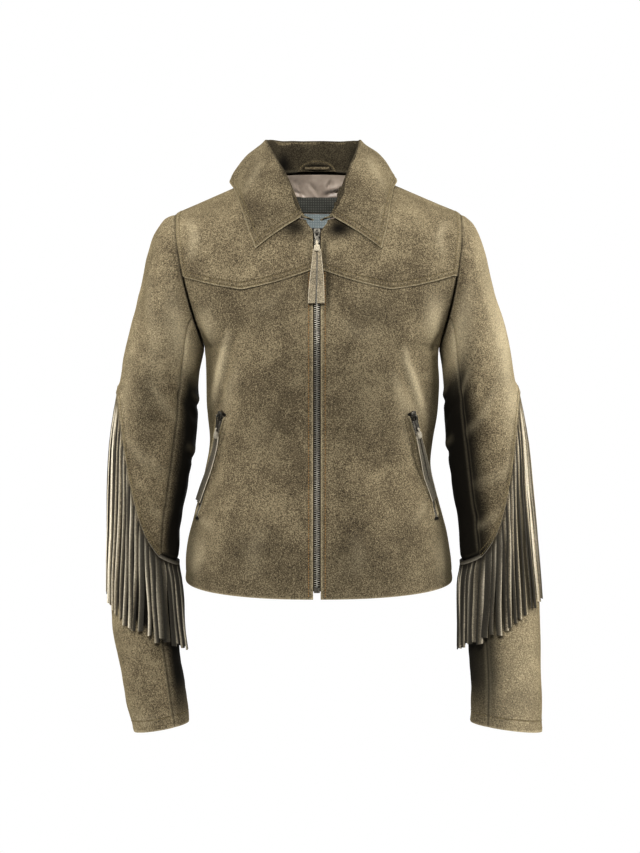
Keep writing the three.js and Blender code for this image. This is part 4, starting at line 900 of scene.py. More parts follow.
# painted highlights and painted shade round these places on the sleeves: degrees round and rows down the
# sleeve
sleeveSpots = {
    -1: [{"angle": 78, "t": 5.7, "wide": 24, "long": 1.5, "shade": 0.4},
         {"angle": 34, "t": 7.6, "wide": 16, "long": 2.2, "rubAndHighlight": 0.35},
         {"angle": 122, "t": 2.4, "wide": 34, "long": 1.3, "rubAndHighlight": 0.75},
         {"angle": 70, "t": 12.4, "wide": 50, "long": 1.6, "shade": 0.16}],
    1: [{"angle": 42, "t": 6.0, "wide": 20, "long": 4.0, "rubAndHighlight": 0.42},
        {"angle": 20, "t": 4.0, "wide": 20, "long": 2.6, "rubAndHighlight": 0.3},
        {"angle": 122, "t": 2.3, "wide": 34, "long": 1.3, "rubAndHighlight": 0.8},
        {"angle": 80, "t": 12.4, "wide": 50, "long": 1.7, "rubAndHighlight": 0.28}],
}
ringDown = np.concatenate([[0], np.cumsum(np.hypot(
    np.diff([(a + b) / 2 for a, b in zip(sleeveRows["outL"], sleeveRows["inL"])]),
    np.diff([(a + b) / 2 for a, b in zip(sleeveRows["outZ"], sleeveRows["inZ"])])))])
for side in (-1, 1):
    for part, cols in (("top", 104), ("under", 40)):
        seamTurn = math.radians(jacket["seamAngle"])
        gap = 0.003     # between the halves of the sleeve, in radians
        if part == "top":
            angle = np.linspace(-seamTurn + gap, seamTurn - gap, cols + 1)
        else:
            angle = np.linspace(seamTurn + gap, 2 * np.pi - seamTurn - gap, cols + 1)
        for zone, rows in (("upper", 118), ("lower", 66)):
            s = packed(rows, 0.4)[:, None]
            if zone == "upper":
                longer = sleeveEdge["overlap"] if part == "top" else -1.0
                t = mixed(0.035, fringeRing(side, angle, longer)[None], s ** 1.05)
            else:
                t = mixed(fringeRing(side, angle, 0.0)[None], cuffRing, s)
            grid = relaxed(sleeve(side, angle[None], t), 3)
            away = vec(side * np.cos(angle)[None], -np.sin(angle)[None], 0 * t)
            if zone == "upper" and part == "top":
                lift = sleeveEdge["lift"] * (1 - smooth(4, 17, toEdge(grid, ["high"])))
                grid = grid + gridNormals(grid, away) * lift[..., None]
            middle = (angle + np.pi) % (2 * np.pi) - np.pi if part == "top" else angle - np.pi
            down = np.interp(t, np.arange(cuffRing + 1), ringDown)
            flat = np.stack([middle[None] * 52 + 0 * t, down], -1)
            name = f"sleeve_{zone}_{part}_{sideNames[side]}"
            inward = np.abs((np.degrees(angle) + 180) % 360 - 180)[None] + 0 * t
            # painted shade behind the fringe, along the seams and on the sleeve's inner side, where the
            # arm shades it
            low = smooth(2.9, 4.4, t)
            ends = mixed(fringe["outerEnd"], fringe["innerEnd"], np.sqrt((1 - np.cos(angle)) / 2))[None]
            fringeShadow = 0.95 * smooth(2, 16, grid[..., 2] - ends) * (zone == "lower")
            turned = smooth(114, 146, inward) if side < 0 else smooth(92, 122, inward)
            turned = turned * mixed(1, 0.4, smooth(12.0, 13.0, t))
            shade = np.maximum(fringeShadow, low * turned * 0.98 + 0.15 * (1 - low) * smooth(150, 175, inward))
            rubAndHighlight = np.zeros_like(shade)
            for spot in sleeveSpots[side]:
                turn = (np.degrees(angle)[None] - spot["angle"] + 540) % 360 - 180
                shape = hump(np.hypot(turn / spot["wide"], (t - spot["t"]) / spot["long"]), 1)
                shade = shade + spot.get("shade", 0) * shape
                rubAndHighlight = rubAndHighlight + spot.get("rubAndHighlight", 0) * shape
            # painted shade along the lap's edge, darker on the inner side, and less pale there
            if zone == "upper":
                lap = hump(toEdge(grid, ["high"]), 2.2)
                shade = shade + lap * mixed(0.4, 0.9, smooth(100, 130, inward))
                rubAndHighlight = rubAndHighlight - 0.35 * lap
            look = dict(sleeveMake[zone, part], **sleeveLook[zone, part, side], shade=shade, rubbedAndHighlit=rubAndHighlight)
            clothPiece(f"{name}_suede", name, grid, away, look, flat=flat)
report("sleeves")


# a number from -0.5 to 0.5 that stays the same for one strand and one use
def wobble(k, seed):
    v = np.sin(k * 12.9898 + seed * 78.233) * 43758.5453
    return v - np.floor(v) - 0.5


def sleeveAtHeight(side, z):
    tOut, tIn = rowAt(sleeveRows, "outZ", z), rowAt(sleeveRows, "inZ", z)
    out = readRow(sleeveRows, tOut, "outL" if side < 0 else "outR")
    inside = readRow(sleeveRows, tIn, "inL" if side < 0 else "inR")
    middle = (tOut + tIn) / 2
    return (side * (out + inside) / 2, -readRow(sleeveRows, middle, "forward"),
            (out - inside) / 2, readRow(sleeveRows, middle, "deep"))


# one piece of leather round the sleeve: a strip, cut into strands below
def fringePiece(side):
    count = fringe["strands"] * 2
    j = np.arange(count)
    pitch = 2 * np.pi / fringe["strands"]
    angle = (j // 2 + 0.5 + (j % 2 - 0.5) * fringe["share"]) * pitch
    outs = vec(side * np.cos(angle), -np.sin(angle), 0 * angle)
    top = sleeve(side, angle, fringeRing(side, angle, 0.3)) + outs * 0.7
    low = sleeve(side, angle, fringeRing(side, angle, fringe["strip"])) + outs * 0.9
    points, faces, worn, shades = [], [], [], []

    def put(p, value=0.0, shade=0.5):
        points.append(p)
        worn.append(value)
        shades.append(shade)
        return len(points) - 1
    thick = fringe["thick"]
    # painted shade on the strip, darker towards the inner side
    stripShade = 0.3 + 0.65 * smooth(0.3, 0.7, (1 - np.cos(angle)) / 2)
    stations = []
    for k in range(count):
        shade = stripShade[k]
        stations.append([put(top[k], 0, shade), put(top[k] + outs[k] * thick, 0, shade),
                         put(low[k] + outs[k] * thick, 0.25, shade), put(low[k], 0.2, shade)])
    for k in range(count):
        a, b = stations[k], stations[(k + 1) % count]
        faces += [[a[1], b[1], b[2], a[2]], [a[0], a[3], b[3], b[0]], [a[0], b[0], b[1], a[1]]]
        if k % 2 == 1:
            faces.append([a[3], a[2], b[2], b[3]])
    across = np.array([-1, -0.6, 0, 0.6, 1])
    lengths = []
    for k in range(fringe["strands"]):
        a, b = 2 * k, 2 * k + 1
        start = (low[a] + low[b]) / 2
        out = unit((outs[a] + outs[b]) / 2)
        wide0 = unit((low[b] - low[a]) * [1, 1, 0])
        around = (1 - math.cos((angle[a] + angle[b]) / 2)) / 2
        end = mixed(fringe["outerEnd"], fringe["innerEnd"], math.sqrt(around))
        end += fringe["waver"] * wobble(k, 1 + side)
        width = fringe["width"] * (1 + fringe["uneven"] * wobble(k, 9))
        width *= mixed(1, 1.35, smooth(0.55, 0.8, around))
        lengths.append(start[2] - end)
        slant = fringe["slant"] * wobble(k, 4)
        calm = mixed(1, 0.45, smooth(0.6, 0.85, around))
        loose = mixed(0.15, 1, smooth(0.05, 0.4, around)) * calm
        clear = mixed(0.4, 2.2, around ** 2)
        clear += fringe["standOff"] * (wobble(k, 6) + 0.5) ** 1.3 * loose
        # tone: differs at random per strand, plus painted shade on the inner strands that face the body;
        # pale: how strong the painted highlight is
        tone = 0.1 - 0.16 * side + 0.55 * (wobble(k, 8) + 0.5) ** 1.3
        tone += (0.66 + 0.12 * side) * smooth(0.26, 0.6, around)
        pale = (0.4 + 0.6 * (wobble(k, 12) + 0.5)) * (1 - 0.5 * smooth(0.28, 0.62, around))
        lit = 1 if wobble(k, 13) > 0 else -1     # the edge that catches the light
        lean = fringe["lean"] * wobble(k, 10) * calm
        inward = fringe["inward"] * smooth(0.6, 0.85, around)
        x, y = start[0], start[1]
        previous = None
        for i in range(1, fringe["steps"] + 1):
            t = i / fringe["steps"]
            z = mixed(start[2], end, t)
            cx, cy, ra, rb = sleeveAtHeight(side, z)
            hang = mixed(1.0, clear, smooth(0, 0.5, t))
            reach = math.hypot((x - cx) / (ra + hang), (y - cy) / (rb + hang))
            if reach < 1:
                x, y = cx + (x - cx) / reach, cy + (y - cy) / reach
            yaw = 0.6 * wobble(k, 11) + 1.7 * wobble(k, 2) * t + 1.2 * wobble(k, 3) * math.sin(5 * t + k)
            yaw *= smooth(0, 0.25, t) * calm
            c, s = math.cos(yaw), math.sin(yaw)
            facing = np.array([out[0] * c - out[1] * s, out[0] * s + out[1] * c, 0])
            wide = np.array([-facing[1], facing[0], 0])
            wide = wide * np.sign(wide @ wide0) * width / 2
            bend = fringe["sway"] * wobble(k, 7) * math.sin(6 * t + 2 * k) * t
            sway = wide0 * ((fringe["sway"] * wobble(k, 5) + lean) * t + bend)
            middle = np.array([x - side * inward * smooth(0, 0.22, t), y, z]) + sway + facing * 0.2
            ring = []
            for face, order in ((0, across), (1, across[::-1])):
                for w in order:
                    curl = facing * fringe["curl"] * (1 - w * w) * (0.4 + t)
                    level = np.array([0, 0, slant * w / 2 * (t > 0.99)])
                    p = middle + wide * w * (1 - 0.12 * face) + curl + facing * thick * face + level
                    # painted highlight along the lit edge, and painted shadow along the other, where the
                    # next strand lies over it
                    if w == lit:
                        ring.append(put(p, pale, 0.25 * tone))
                    else:
                        deep = 1.0 if w * lit < -0.5 else tone
                        ring.append(put(p, 0.45 * pale if w * lit > 0.5 else 0.05, deep))
            if previous is None:
                flatRing = []
                for face, order in ((0, across), (1, across[::-1])):
                    for w in order:
                        share = (w + 1) / 2
                        p = mixed(low[a], low[b], share) + mixed(outs[a], outs[b], share) * thick * face
                        flatRing.append(put(p, 0, stripShade[a]))
                previous = flatRing
            for q in range(10):
                r = (q + 1) % 10
                faces.append([previous[q], ring[q], ring[r], previous[r]])
            previous = ring
        faces += [[previous[q], previous[q + 1], previous[8 - q], previous[9 - q]] for q in range(4)]
    name = f"fringe_{sideNames[side]}"
    piece = quadMesh(f"{name}_suede", points, faces, fringeSuede, sharp=1.0)
    spareValues(piece, worn=worn, shade=np.clip(shades, 0, 1))
    settle(piece, name)
    around = float(np.linalg.norm(np.diff(low, axis=0), axis=-1).sum()) * mm
    longest = (max(lengths) + fringe["strip"]) * mm
    area = around * (float(np.mean(lengths)) + fringe["strip"]) * mm     # the piece before it is slit
    flatSizes[piece.name] = [round(around, 3), round(longest, 3), round(area, 4)]


for side in (-1, 1):
    fringePiece(side)
report("fringes")

collarLook = {
    "wall": 2.4, "roll": 4.5, "stations": 168, "rows": 56,
    "uneven": (51, 60, 0.7), "double": ["high", "start", "end"], "cut": ["high", "start", "end"],
    "sewnDip": 0.6, "joined": ["low"],
    "creases": [
        ([(-58, 30), (-70, 4), (-84, -20)], 7, 1.1, 0.3),
        ([(70, 40), (84, 16), (92, -6)], 7, 1.1, 0.3)],
}


def collarEdge(side, k):
    at = rowAt(collarRows, "at", k)
    drawn = readRow(collarRows, at, "leftIn") if side > 0 else 0
    x, z = readRow(collarRows, at, "edgeX") - drawn, readRow(collarRows, at, "edgeZ")
    lifted = collarLook["wall"] + 1.4
    front, frontOut = onBody(side * np.maximum(x, 0.5), z, -1)
    front = front + frontOut * (lifted + 1.9 * smooth(-40, -100, z))[..., None]
    behind, behindOut = onBody(side * np.maximum(x, 0.5), z, 1)
    behind[..., 0] = side * x
    behind = behind + behindOut * (lifted + 3)
    return np.where((k < 0.46)[..., None], front, behind)


# the collar from its foot up over the roll and down to its edge; k runs from the front round
# to the middle of the back
def collarSection(side, k):
    at = rowAt(collarRows, "at", k)
    base = np.where((k < 0.5)[..., None], neckCurve(k * 2, -1), neckCurve((1 - k) * 2, 1))
    drawn = readRow(collarRows, at, "leftIn") * smooth(0, 0.3, k) if side > 0 else 0
    roll = vec(side * (readRow(collarRows, at, "rollX") - drawn), readRow(collarRows, at, "rollY"),
               readRow(collarRows, at, "rollZ"))
    edge = collarEdge(side, k)
    a, b = collarEdge(side, np.array([0.455, 0.585]))
    t = np.clip((k - 0.455) / 0.13, 0, 1)
    over = mixed(a, b, t[..., None]) + vec(side * 5 * np.sin(np.pi * t), 0, 5 * np.sin(np.pi * t))
    edge = np.where(((k >= 0.46) & (k <= 0.58))[..., None], over, edge)
    out = unit((edge - roll) * [1, 1, 0.25])
    foot = base * [side, 1, 1] + [0, 0, 1.9] - 0.9 * out
    radius = (collarLook["roll"] * mixed(0.75, 1, smooth(0, 0.3, k)))[..., None]
    inTop = roll - out * radius * 0.6 - radius * [0, 0, 1]
    outTop = roll + out * radius * 1.3 - 0.9 * radius * [0, 0, 1]
    points = [foot, (foot + inTop) / 2, inTop, roll, outTop]
    for i in range(1, 5):
        t = i / 4
        swell = ((2 + 5 * smooth(0, 0.4, k)) * math.sin(math.pi * t))[..., None]
        points.append(mixed(outTop, edge, t) + out * swell * 0.8 + swell * [0, 0, 0.5])
    return np.stack(points, axis=0)


half = collarLook["stations"] // 2
k = np.linspace(0, 0.99999, half + 1)
rightHalf = collarSection(-1, k)
leftHalf = collarSection(1, k[:-1])[:, ::-1]
sections = np.concatenate([rightHalf, leftHalf], axis=1)
rowShare = np.linspace(0, 1, collarLook["rows"] + 1)[:, None]
grid = relaxed(curveAt(sections, np.linspace(0, len(sections) - 1, collarLook["rows"] + 1)), 4)
away = vec(grid[..., 0], grid[..., 1] - 10, 30 + 0 * grid[..., 0]) * (rowShare > 0.6)[..., None]
# painted shade: the stand's inner face, darker still in two hollows, and the fall a little darker
hollow = sum(hump(np.hypot((grid[..., 0] - x) / 9, (grid[..., 2] - 36) / 17), 1) for x in (-43, 52))
inside = smooth(0.46, 0.3, rowShare)
look = dict(collarLook, shade=inside * (0.74 + 0.26 * hollow) + 0.22 * (1 - inside))
clothPiece("collar_suede", "collar", grid, away, look, wall=collarLook["wall"])
report("collar")

neckInside = {"liningHalf": 51, "liningLow": -74, "labelHalf": 32, "labelTop": -6, "labelLow": -25,
              "sizeHalf": 17, "sizeTop": -27, "sizeLow": -52}


def surfaceTree(grid):
    rows, cols = grid.shape[:2]
    ids = np.arange(rows * cols).reshape(rows, cols)
    quads = np.stack([ids[:-1, :-1], ids[:-1, 1:], ids[1:, 1:], ids[1:, :-1]], -1).reshape(-1, 4)
    return BVHTree.FromPolygons([Vector(p) for p in grid.reshape(-1, 3)], quads.tolist())


# a piece of cloth that hangs close inside the back's neck
def againstBack(tree, halfWidth, topAt, bottom, cols, rows, lift):
    x = np.linspace(-halfWidth, halfWidth, cols + 1)
    grid = np.zeros((rows + 1, cols + 1, 3))
    for i, s in enumerate(np.linspace(0, 1, rows + 1)):
        for j, across in enumerate(x):
            z = mixed(bottom, topAt(across), s)
            hit = tree.ray_cast(Vector((across, 0, z)), Vector((0, 1, 0)))[0]
            grid[i, j] = (across, hit[1] - lift, z)
    return grid


def neckTop(x):
    share = math.sqrt(1 - (x / jacket["neckHalf"]) ** 2) ** 1.4
    return mixed(neckPoint["z"], neckBack["z"], share) - 9


toViewer = np.array([0.0, -1.0, 0.0])
liningLook = {
    "uneven": (61, 46, 0.8), "sewnDip": 0,
    "creases": [
        ([(-50, 12), (-34, 2), (-14, -4)], 2.4, 2.6, 0.5),
        ([(-30, 16), (-22, 4), (-18, -6)], 2.2, 2.4, 0.5),
        ([(-12, 14), (-4, 4), (2, -6)], 2.2, 2.6, 0.5),
        ([(44, 10), (28, 1), (8, -3)], 3.2, 3.4, 0.5),
        ([(20, 18), (14, 8), (16, -2)], 2.0, 1.8, 0.5),
        ([(50, -12), (34, -26), (22, -46)], 3.0, 2.2, 0.5),
        ([(-46, -40), (-34, -56), (-10, -66)], 3.4, 2.0, 0.5)],
}
grid = againstBack(surfaceTree(backInside), neckInside["liningHalf"], lambda x: neckTop(x) + 8.2,
                   neckInside["liningLow"], 72, 60, 3.2)
away = np.broadcast_to(toViewer, grid.shape)
lining, _ = clothPiece("lining_satin", "lining_back", grid, away, liningLook, material=satin,
                       wall=0.8)
labelLook = {"uneven": (62, 30, 0.35), "sewnDip": 0}
tree = surfaceTree(lining)
for name, node, halfWidth, top, low, cloth, slotName in (
        ("neck_label_weave", "neck_label", "labelHalf", "labelTop", "labelLow", labelDark, "neck_label"),
        ("size_label_weave", "size_label", "sizeHalf", "sizeTop", "sizeLow", labelPale, "size_label")):
    level = neckInside[top]
    grid = againstBack(tree, neckInside[halfWidth], lambda x: level, neckInside[low], 32, 14, 1.5)
    clothPiece(name, node, grid, np.broadcast_to(toViewer, grid.shape), labelLook, material=cloth,
               wall=0.7)


# small pieces on the inner face of the collar stand
def onStand(halfWidth, low, high, depth, cols, rows, rounded):
    f = np.linspace(-1, 1, cols + 1)
    k = np.minimum(1 - np.abs(f) * halfWidth, 0.99999)
    grid = np.zeros((rows + 1, cols + 1, 3))
    section = np.where((f < 0)[None, :, None], collarSection(-1, k), collarSection(1, k))
    around = np.sqrt(np.maximum(0.06, 1 - f * f)) if rounded else np.ones_like(f)
    for i, s in enumerate(np.linspace(0, 1, rows + 1)):
        share = mixed(low, mixed(low, high, around), s)[:, None]
        grid[i] = mixed(section[0], section[2], share) - [0, depth, 0]
    return grid


facingLook = {"uneven": (63, 40, 0.2), "sewnDip": 0, "single": ["high"], "singleAt": 2.0}
grid = onStand(0.095, 0.03, 0.42, 2.2, 48, 14, True)
# painted shade on the facing, darkest in a painted shadow just above the hanger loop
row, column = np.linspace(0, 1, 15)[:, None], np.abs(np.linspace(-1, 1, 49))[None]
facingLook["shade"] = 0.45 + 0.55 * hump((row - 0.42) / 0.34 + 0 * column, 1) * smooth(0.95, 0.6, column)
clothPiece("loop_facing_suede", "loop_facing", grid, np.broadcast_to(toViewer, grid.shape),
           facingLook, wall=1.0)
grid = onStand(0.06, 0.1, 0.19, 3.4, 32, 6, False)
bow = np.sin(np.linspace(0, np.pi, 33))[None, :]
grid = grid - np.stack([0 * bow, 2.6 * bow, 0.6 * bow], -1)
settle(wallMesh("hanger_loop_suede", grid, grid - toViewer * 1.4, suede), "hanger_loop")
report("neck inside")


# the line down the middle of the front, and the way it faces
def centreFront(z):
    z = np.asarray(z, float)

    def depthAt(h):
        upper = readRow(chestRows, rowAt(chestRows, "z", h), "front")

        def isLow(row):
            return readRow(bodyRows, row, "z") - readRow(bodyRows, row, "drop") < h
        row = halved(np.zeros_like(h), np.full_like(h, len(bodyRows["z"]) - 1.0), isLow)
        return -np.where(h >= chestRows["z"][0], upper, readRow(bodyRows, row, "front"))
    slope = (depthAt(z + 2) - depthAt(z - 2)) / 4
    return vec(0 * z, depthAt(z), z), unit(vec(0 * z, -1 + 0 * z, slope))


def roundedSection(width, thick, chamfer):
    w, h, c = width / 2, thick / 2, chamfer
    return np.array([(-w, -h + c), (-w + c, -h), (w - c, -h), (w, -h + c),
                     (w, h - c), (w - c, h), (-w + c, h), (-w, h - c)])


# a section carried along a path; its sizes may change along the way
def swept(path, acrosses, outs, sections):
    path = np.asarray(path, float)
    rings = [p + section[:, :1] * a + section[:, 1:] * o
             for p, a, o, section in zip(path, acrosses, outs, sections)]
    faces = []
    for i in range(len(rings) - 1):
        for q in range(8):
            r = (q + 1) % 8
            faces.append([i * 8 + q, i * 8 + 8 + q, i * 8 + 8 + r, i * 8 + r])
    end = (len(rings) - 1) * 8
    for a, b, c, d in ((0, 1, 6, 7), (1, 2, 5, 6), (2, 3, 4, 5)):
        faces += [[a, b, c, d], [end + d, end + c, end + b, end + a]]
    return np.concatenate(rings), np.array(faces)


def gathered(parts):
    points, faces, start = [], [], 0
    for p, f in parts:
        points.append(p)
        faces.append(np.asarray(f) + start)
        start += len(p)
    return np.concatenate(points), np.concatenate(faces)


# copies of one small shape, each in its own frame of across, out and along
def repeated(template, faces, origins, acrosses, outs, alongs):
    points = (origins[:, None] + template[None, :, :1] * acrosses[:, None]
              + template[None, :, 1:2] * outs[:, None] + template[None, :, 2:] * alongs[:, None])
    count = len(template)
    shift = count * np.arange(len(origins))[:, None, None]
    return points.reshape(-1, 3), (faces[None] + shift).reshape(-1, 4)


def toothShape(reach, tall, deep):
    rings = []
    for share, level in ((1.0, 0.0), (1.0, 0.55), (0.62, 1.0)):
        w, h = reach / 2 * mixed(share, 1, 0.5), tall / 2 * share
        y = level * deep
        rings += [(-w, y, -h), (w, y, -h), (w, y, h), (-w, y, h)]
    faces = [[0, 3, 2, 1], [8, 9, 10, 11]]
    for i in (0, 4):
        faces += [[i + q, i + (q + 1) % 4, i + 4 + (q + 1) % 4, i + 4 + q] for q in range(4)]
    return np.array(rings), np.array(faces)


def zipTeeth(name, node, points, outs, look):
    along = unit(np.gradient(points, axis=0))
    across = unit(np.cross(outs, along))
    s = lengthAlong(points)
    at = np.arange(look["pitch"] / 2, s[-1], look["pitch"])
    centre, aside, facing, ahead = (readAlong(q, s, at) for q in (points, across, outs, along))
    turn = np.where(np.arange(len(at)) % 2 == 0, 1.0, -1.0)[:, None]
    reach = look["chain"] / 2 + look["mesh"]
    template, faces = toothShape(reach, look["tooth"], look["deep"])
    centre = centre + aside * turn * (reach / 2 - look["mesh"])
    teeth = repeated(template, faces, centre, aside, unit(facing), unit(ahead))
    settle(quadMesh(name, *teeth, teethMetal, sharp=0.5), node)


def zipTape(node, grid, outs, wall):
    piece = wallMesh(f"{node}_weave", grid, grid - outs * wall, tapeCloth)
    settle(piece, node)
    declareCloth(piece, grid)


# chain is the width of the closed teeth, mesh how far they reach past each other
frontZip = {"top": -61, "bottom": -508, "chain": 6.8, "deep": 1.7, "pitch": 1.32, "tooth": 0.95,
            "mesh": 0.9, "tape": 13, "sunk": 2.1}
z = np.linspace(frontZip["bottom"], frontZip["top"], 190)
for side in (-1, 1):
    x = np.array([0.15, 1.2, 2.4, 3.0, 3.6, 4.4, 7, 10, frontZip["tape"]])
    rib = np.array([0, 0, 0.1, 0.5, 0.5, 0.1, 0, 0, 0])
    line, outs = centreFront(z)
    seat, _ = onBody(side * np.maximum(x, 4.7)[None] + 0 * z[:, None], z[:, None] + 0 * x[None], -1)
    grid = vec(side * x[None], np.where(x[None] > 4.6, seat[..., 1], line[:, None, 1]), z[:, None])
    outs = np.broadcast_to(outs[:, None], grid.shape)
    grid = grid + outs * (rib - frontZip["sunk"])[None, :, None]
    zipTape(f"zip_tape_{sideNames[side]}", grid, outs, 1.0)
z = np.linspace(frontZip["bottom"] + 5, frontZip["top"] - 1, 400)
line, outs = centreFront(z)
zipTeeth("zip_teeth", "zip_chain", line - outs * 1.8, outs, frontZip)

pocketZip = {"chain": 5.4, "deep": 1.3, "pitch": 1.15, "tooth": 0.8, "mesh": 0.7}
# the turned-in lip of a pocket: how far from the zip's middle and how high
lipProfile = [(3.4, 0.7), (3.4, 1.9), (3.9, 2.7), (5.0, 3.0), (6.6, 2.6), (9.0, 1.6), (12.0, 0.5),
              (14.5, -0.7)]
lipWorn = [0.5, 0.9, 0.9, 0.5, 0.2, 0.1, 0, 0]
lipSewn = 7.2


def pocketStations(side, t):
    x = side * mixed(pocketLine["topX"], pocketLine["endX"], t)
    z = mixed(pocketLine["topZ"], pocketLine["endZ"], t)
    return onBody(x, z, -1)


# The cloth round a pocket zip is turned in at both lips, so it stands a little proud.
def pocketPieces(side):
    t = np.linspace(0, 1, 90)
    p, n = pocketStations(side, t)
    along = unit(np.gradient(p, axis=0))
    across = unit(np.cross(n, along))
    tree = surfaceTree(fronts[side])

    def seat(w, lift):
        points = []
        for q in range(len(t)):
            above = Vector(p[q] + across[q] * w + n[q] * 12)
            hit = tree.ray_cast(above, Vector(-n[q]))[0]
            points.append(np.array(hit if hit is not None else p[q] + across[q] * w) + n[q] * lift)
        return np.array(points)
    name = sideNames[side]
    grid = np.stack([seat(w, 0.9) for w in np.linspace(-5.2, 5.2, 9)], axis=1)
    outs = np.broadcast_to(n[:, None], grid.shape)
    zipTape(f"pocket_tape_{name}", grid, outs, 0.8)
    zipTeeth(f"pocket_teeth_{name}", f"pocket_chain_{name}", seat(0, 1.0)[2:-2], n[2:-2], pocketZip)
    for edge in (-1, 1):
        grid = np.stack([seat(edge * w, h) for w, h in lipProfile], axis=1)
        taper = smooth(0, 0.05, t) * smooth(1, 0.95, t)
        base = np.stack([seat(edge * w, min(h, -0.5)) for w, h in lipProfile], axis=1)
        grid = mixed(base, grid, taper[:, None, None])
        piece = wallMesh(f"pocket_lip_{name}_{'in' if edge < 0 else 'out'}", grid,
                         grid - n[:, None] * 0.6, suede)
        spareValues(piece, worn=lipWorn, rowA=[w - lipSewn for w, h in lipProfile], rowB=99, rowC=99)
        settle(piece, "")
        stitchLines["olive"].append((seat(edge * lipSewn, 2.5)[4:-4], n[4:-4]))


for side in (-1, 1):
    pocketPieces(side)
report("zips")

puller = {"bodyThick": 2.6, "opening": 2.8, "plateThick": 1.2}
pivotOut = puller["bodyThick"] + puller["opening"] / 2
# each pull's metal plate and leather strands: their lengths, widths, ends and shade
pullSets = {
    "front": {"plate": 15, "strand": 76, "topWide": 4.8, "endWide": 9.0,
              "ends": [(-2.3, -5.0), (2.5, 6.0)], "dark": 0.1},
    "pocket": {"plate": 20, "strand": 92, "topWide": 3.6, "endWide": 5.6,
               "ends": [(-2, -4), (2, 4)], "dark": 0.85},
}


def pullFrame(origin, out, up):
    across = unit(np.cross(out, up))
    return {"origin": origin, "axes": np.stack([across, out, np.cross(across, out)])}


def toWorld(place, local):
    return place["origin"] + np.asarray(local, float) @ place["axes"]


def toLocal(place, world):
    return (world - place["origin"]) @ place["axes"].T


# a cast slider: its body, narrower below, and the bridge that holds the pull
def sliderParts():
    x, y = np.array([1.0, 0, 0]), np.array([0, 1.0, 0])
    z = np.array([6, 5.4, 4, 1.5, -1, -3.5, -5.2, -6])
    wide = np.array([5.0, 7.4, 8.6, 8.4, 7.0, 6.2, 5.6, 4.2])
    thick = np.array([1.6, 2.3, 2.6, 2.6, 2.6, 2.6, 2.3, 1.6])
    plate = swept([(0, 1.3, h) for h in z], [x] * 8, [y] * 8,
                  [roundedSection(w, d, 0.5) for w, d in zip(wide, thick)])
    turn = np.linspace(0, np.pi, 13)
    arch = [(0, 2.2 + 3.9 * abs(math.sin(a)) ** 0.55, 2.7 * math.cos(a)) for a in turn]
    outs = [unit(np.array([0, math.sin(a), math.cos(a)])) for a in turn]
    bridge = swept(arch, [x] * 13, outs, [roundedSection(2.2, 1.1, 0.3)] * 13)
    return [plate, bridge]


# a flat stamped plate with a window for the bridge and a slot for the strap
def plateParts(length):
    low = 0.6 - length
    z = [0.6, 0.1, -0.6, -5.0, -6.4, mixed(-6.4, low + 4.8, 0.5), low + 4.8, low + 4.0, low + 1.6,
         low + 0.5, low]
    wide = [2.4, 3.1, 3.3, 3.3, 3.0, 2.5, 2.9, 3.1, 3.1, 2.8, 2.0]
    hole = [1.2, 1.6, 1.8, 1.8, 1.4, 1.2, 1.5, 1.8, 1.8, 1.4, 1.0]
    opened = (2, 7)     # the rows of faces that the window and the slot go through
    rows = len(z)
    t = puller["plateThick"] / 2
    points = [(s * w, face * t, h) for face in (1, -1) for h, a, b in zip(z, wide, hole)
              for s, w in ((-1, a), (-1, b), (1, b), (1, a))]
    faces = []

    def at(face, i, j):
        return face * rows * 4 + i * 4 + j
    for i in range(rows - 1):
        for j in range(3):
            if j == 1 and i in opened:
                continue
            a, b, c, d = (i, j), (i, j + 1), (i + 1, j + 1), (i + 1, j)
            faces.append([at(0, *a), at(0, *d), at(0, *c), at(0, *b)])
            faces.append([at(1, *a), at(1, *b), at(1, *c), at(1, *d)])
        faces.append([at(0, i, 0), at(1, i, 0), at(1, i + 1, 0), at(0, i + 1, 0)])
        faces.append([at(0, i, 3), at(0, i + 1, 3), at(1, i + 1, 3), at(1, i, 3)])
        if i in opened:
            faces.append([at(0, i, 1), at(0, i + 1, 1), at(1, i + 1, 1), at(1, i, 1)])
            faces.append([at(0, i, 2), at(1, i, 2), at(1, i + 1, 2), at(0, i + 1, 2)])
            faces.append([at(0, i, 1), at(1, i, 1), at(1, i, 2), at(0, i, 2)])
            faces.append([at(0, i + 1, 1), at(0, i + 1, 2), at(1, i + 1, 2), at(1, i + 1, 1)])
    for j in range(3):
        faces.append([at(0, 0, j), at(0, 0, j + 1), at(1, 0, j + 1), at(1, 0, j)])
        last = rows - 1
        faces.append([at(0, last, j), at(1, last, j), at(1, last, j + 1), at(0, last, j + 1)])
    points = np.array(points) + [0, pivotOut, 0]
    bar = swept([(-3.0, pivotOut, 0), (3.0, pivotOut, 0)], [np.array([0, 1.0, 0])] * 2,
                [np.array([0, 0, 1.0])] * 2, [roundedSection(1.5, 1.5, 0.45)] * 2)
    return [(points, np.array(faces)), bar]


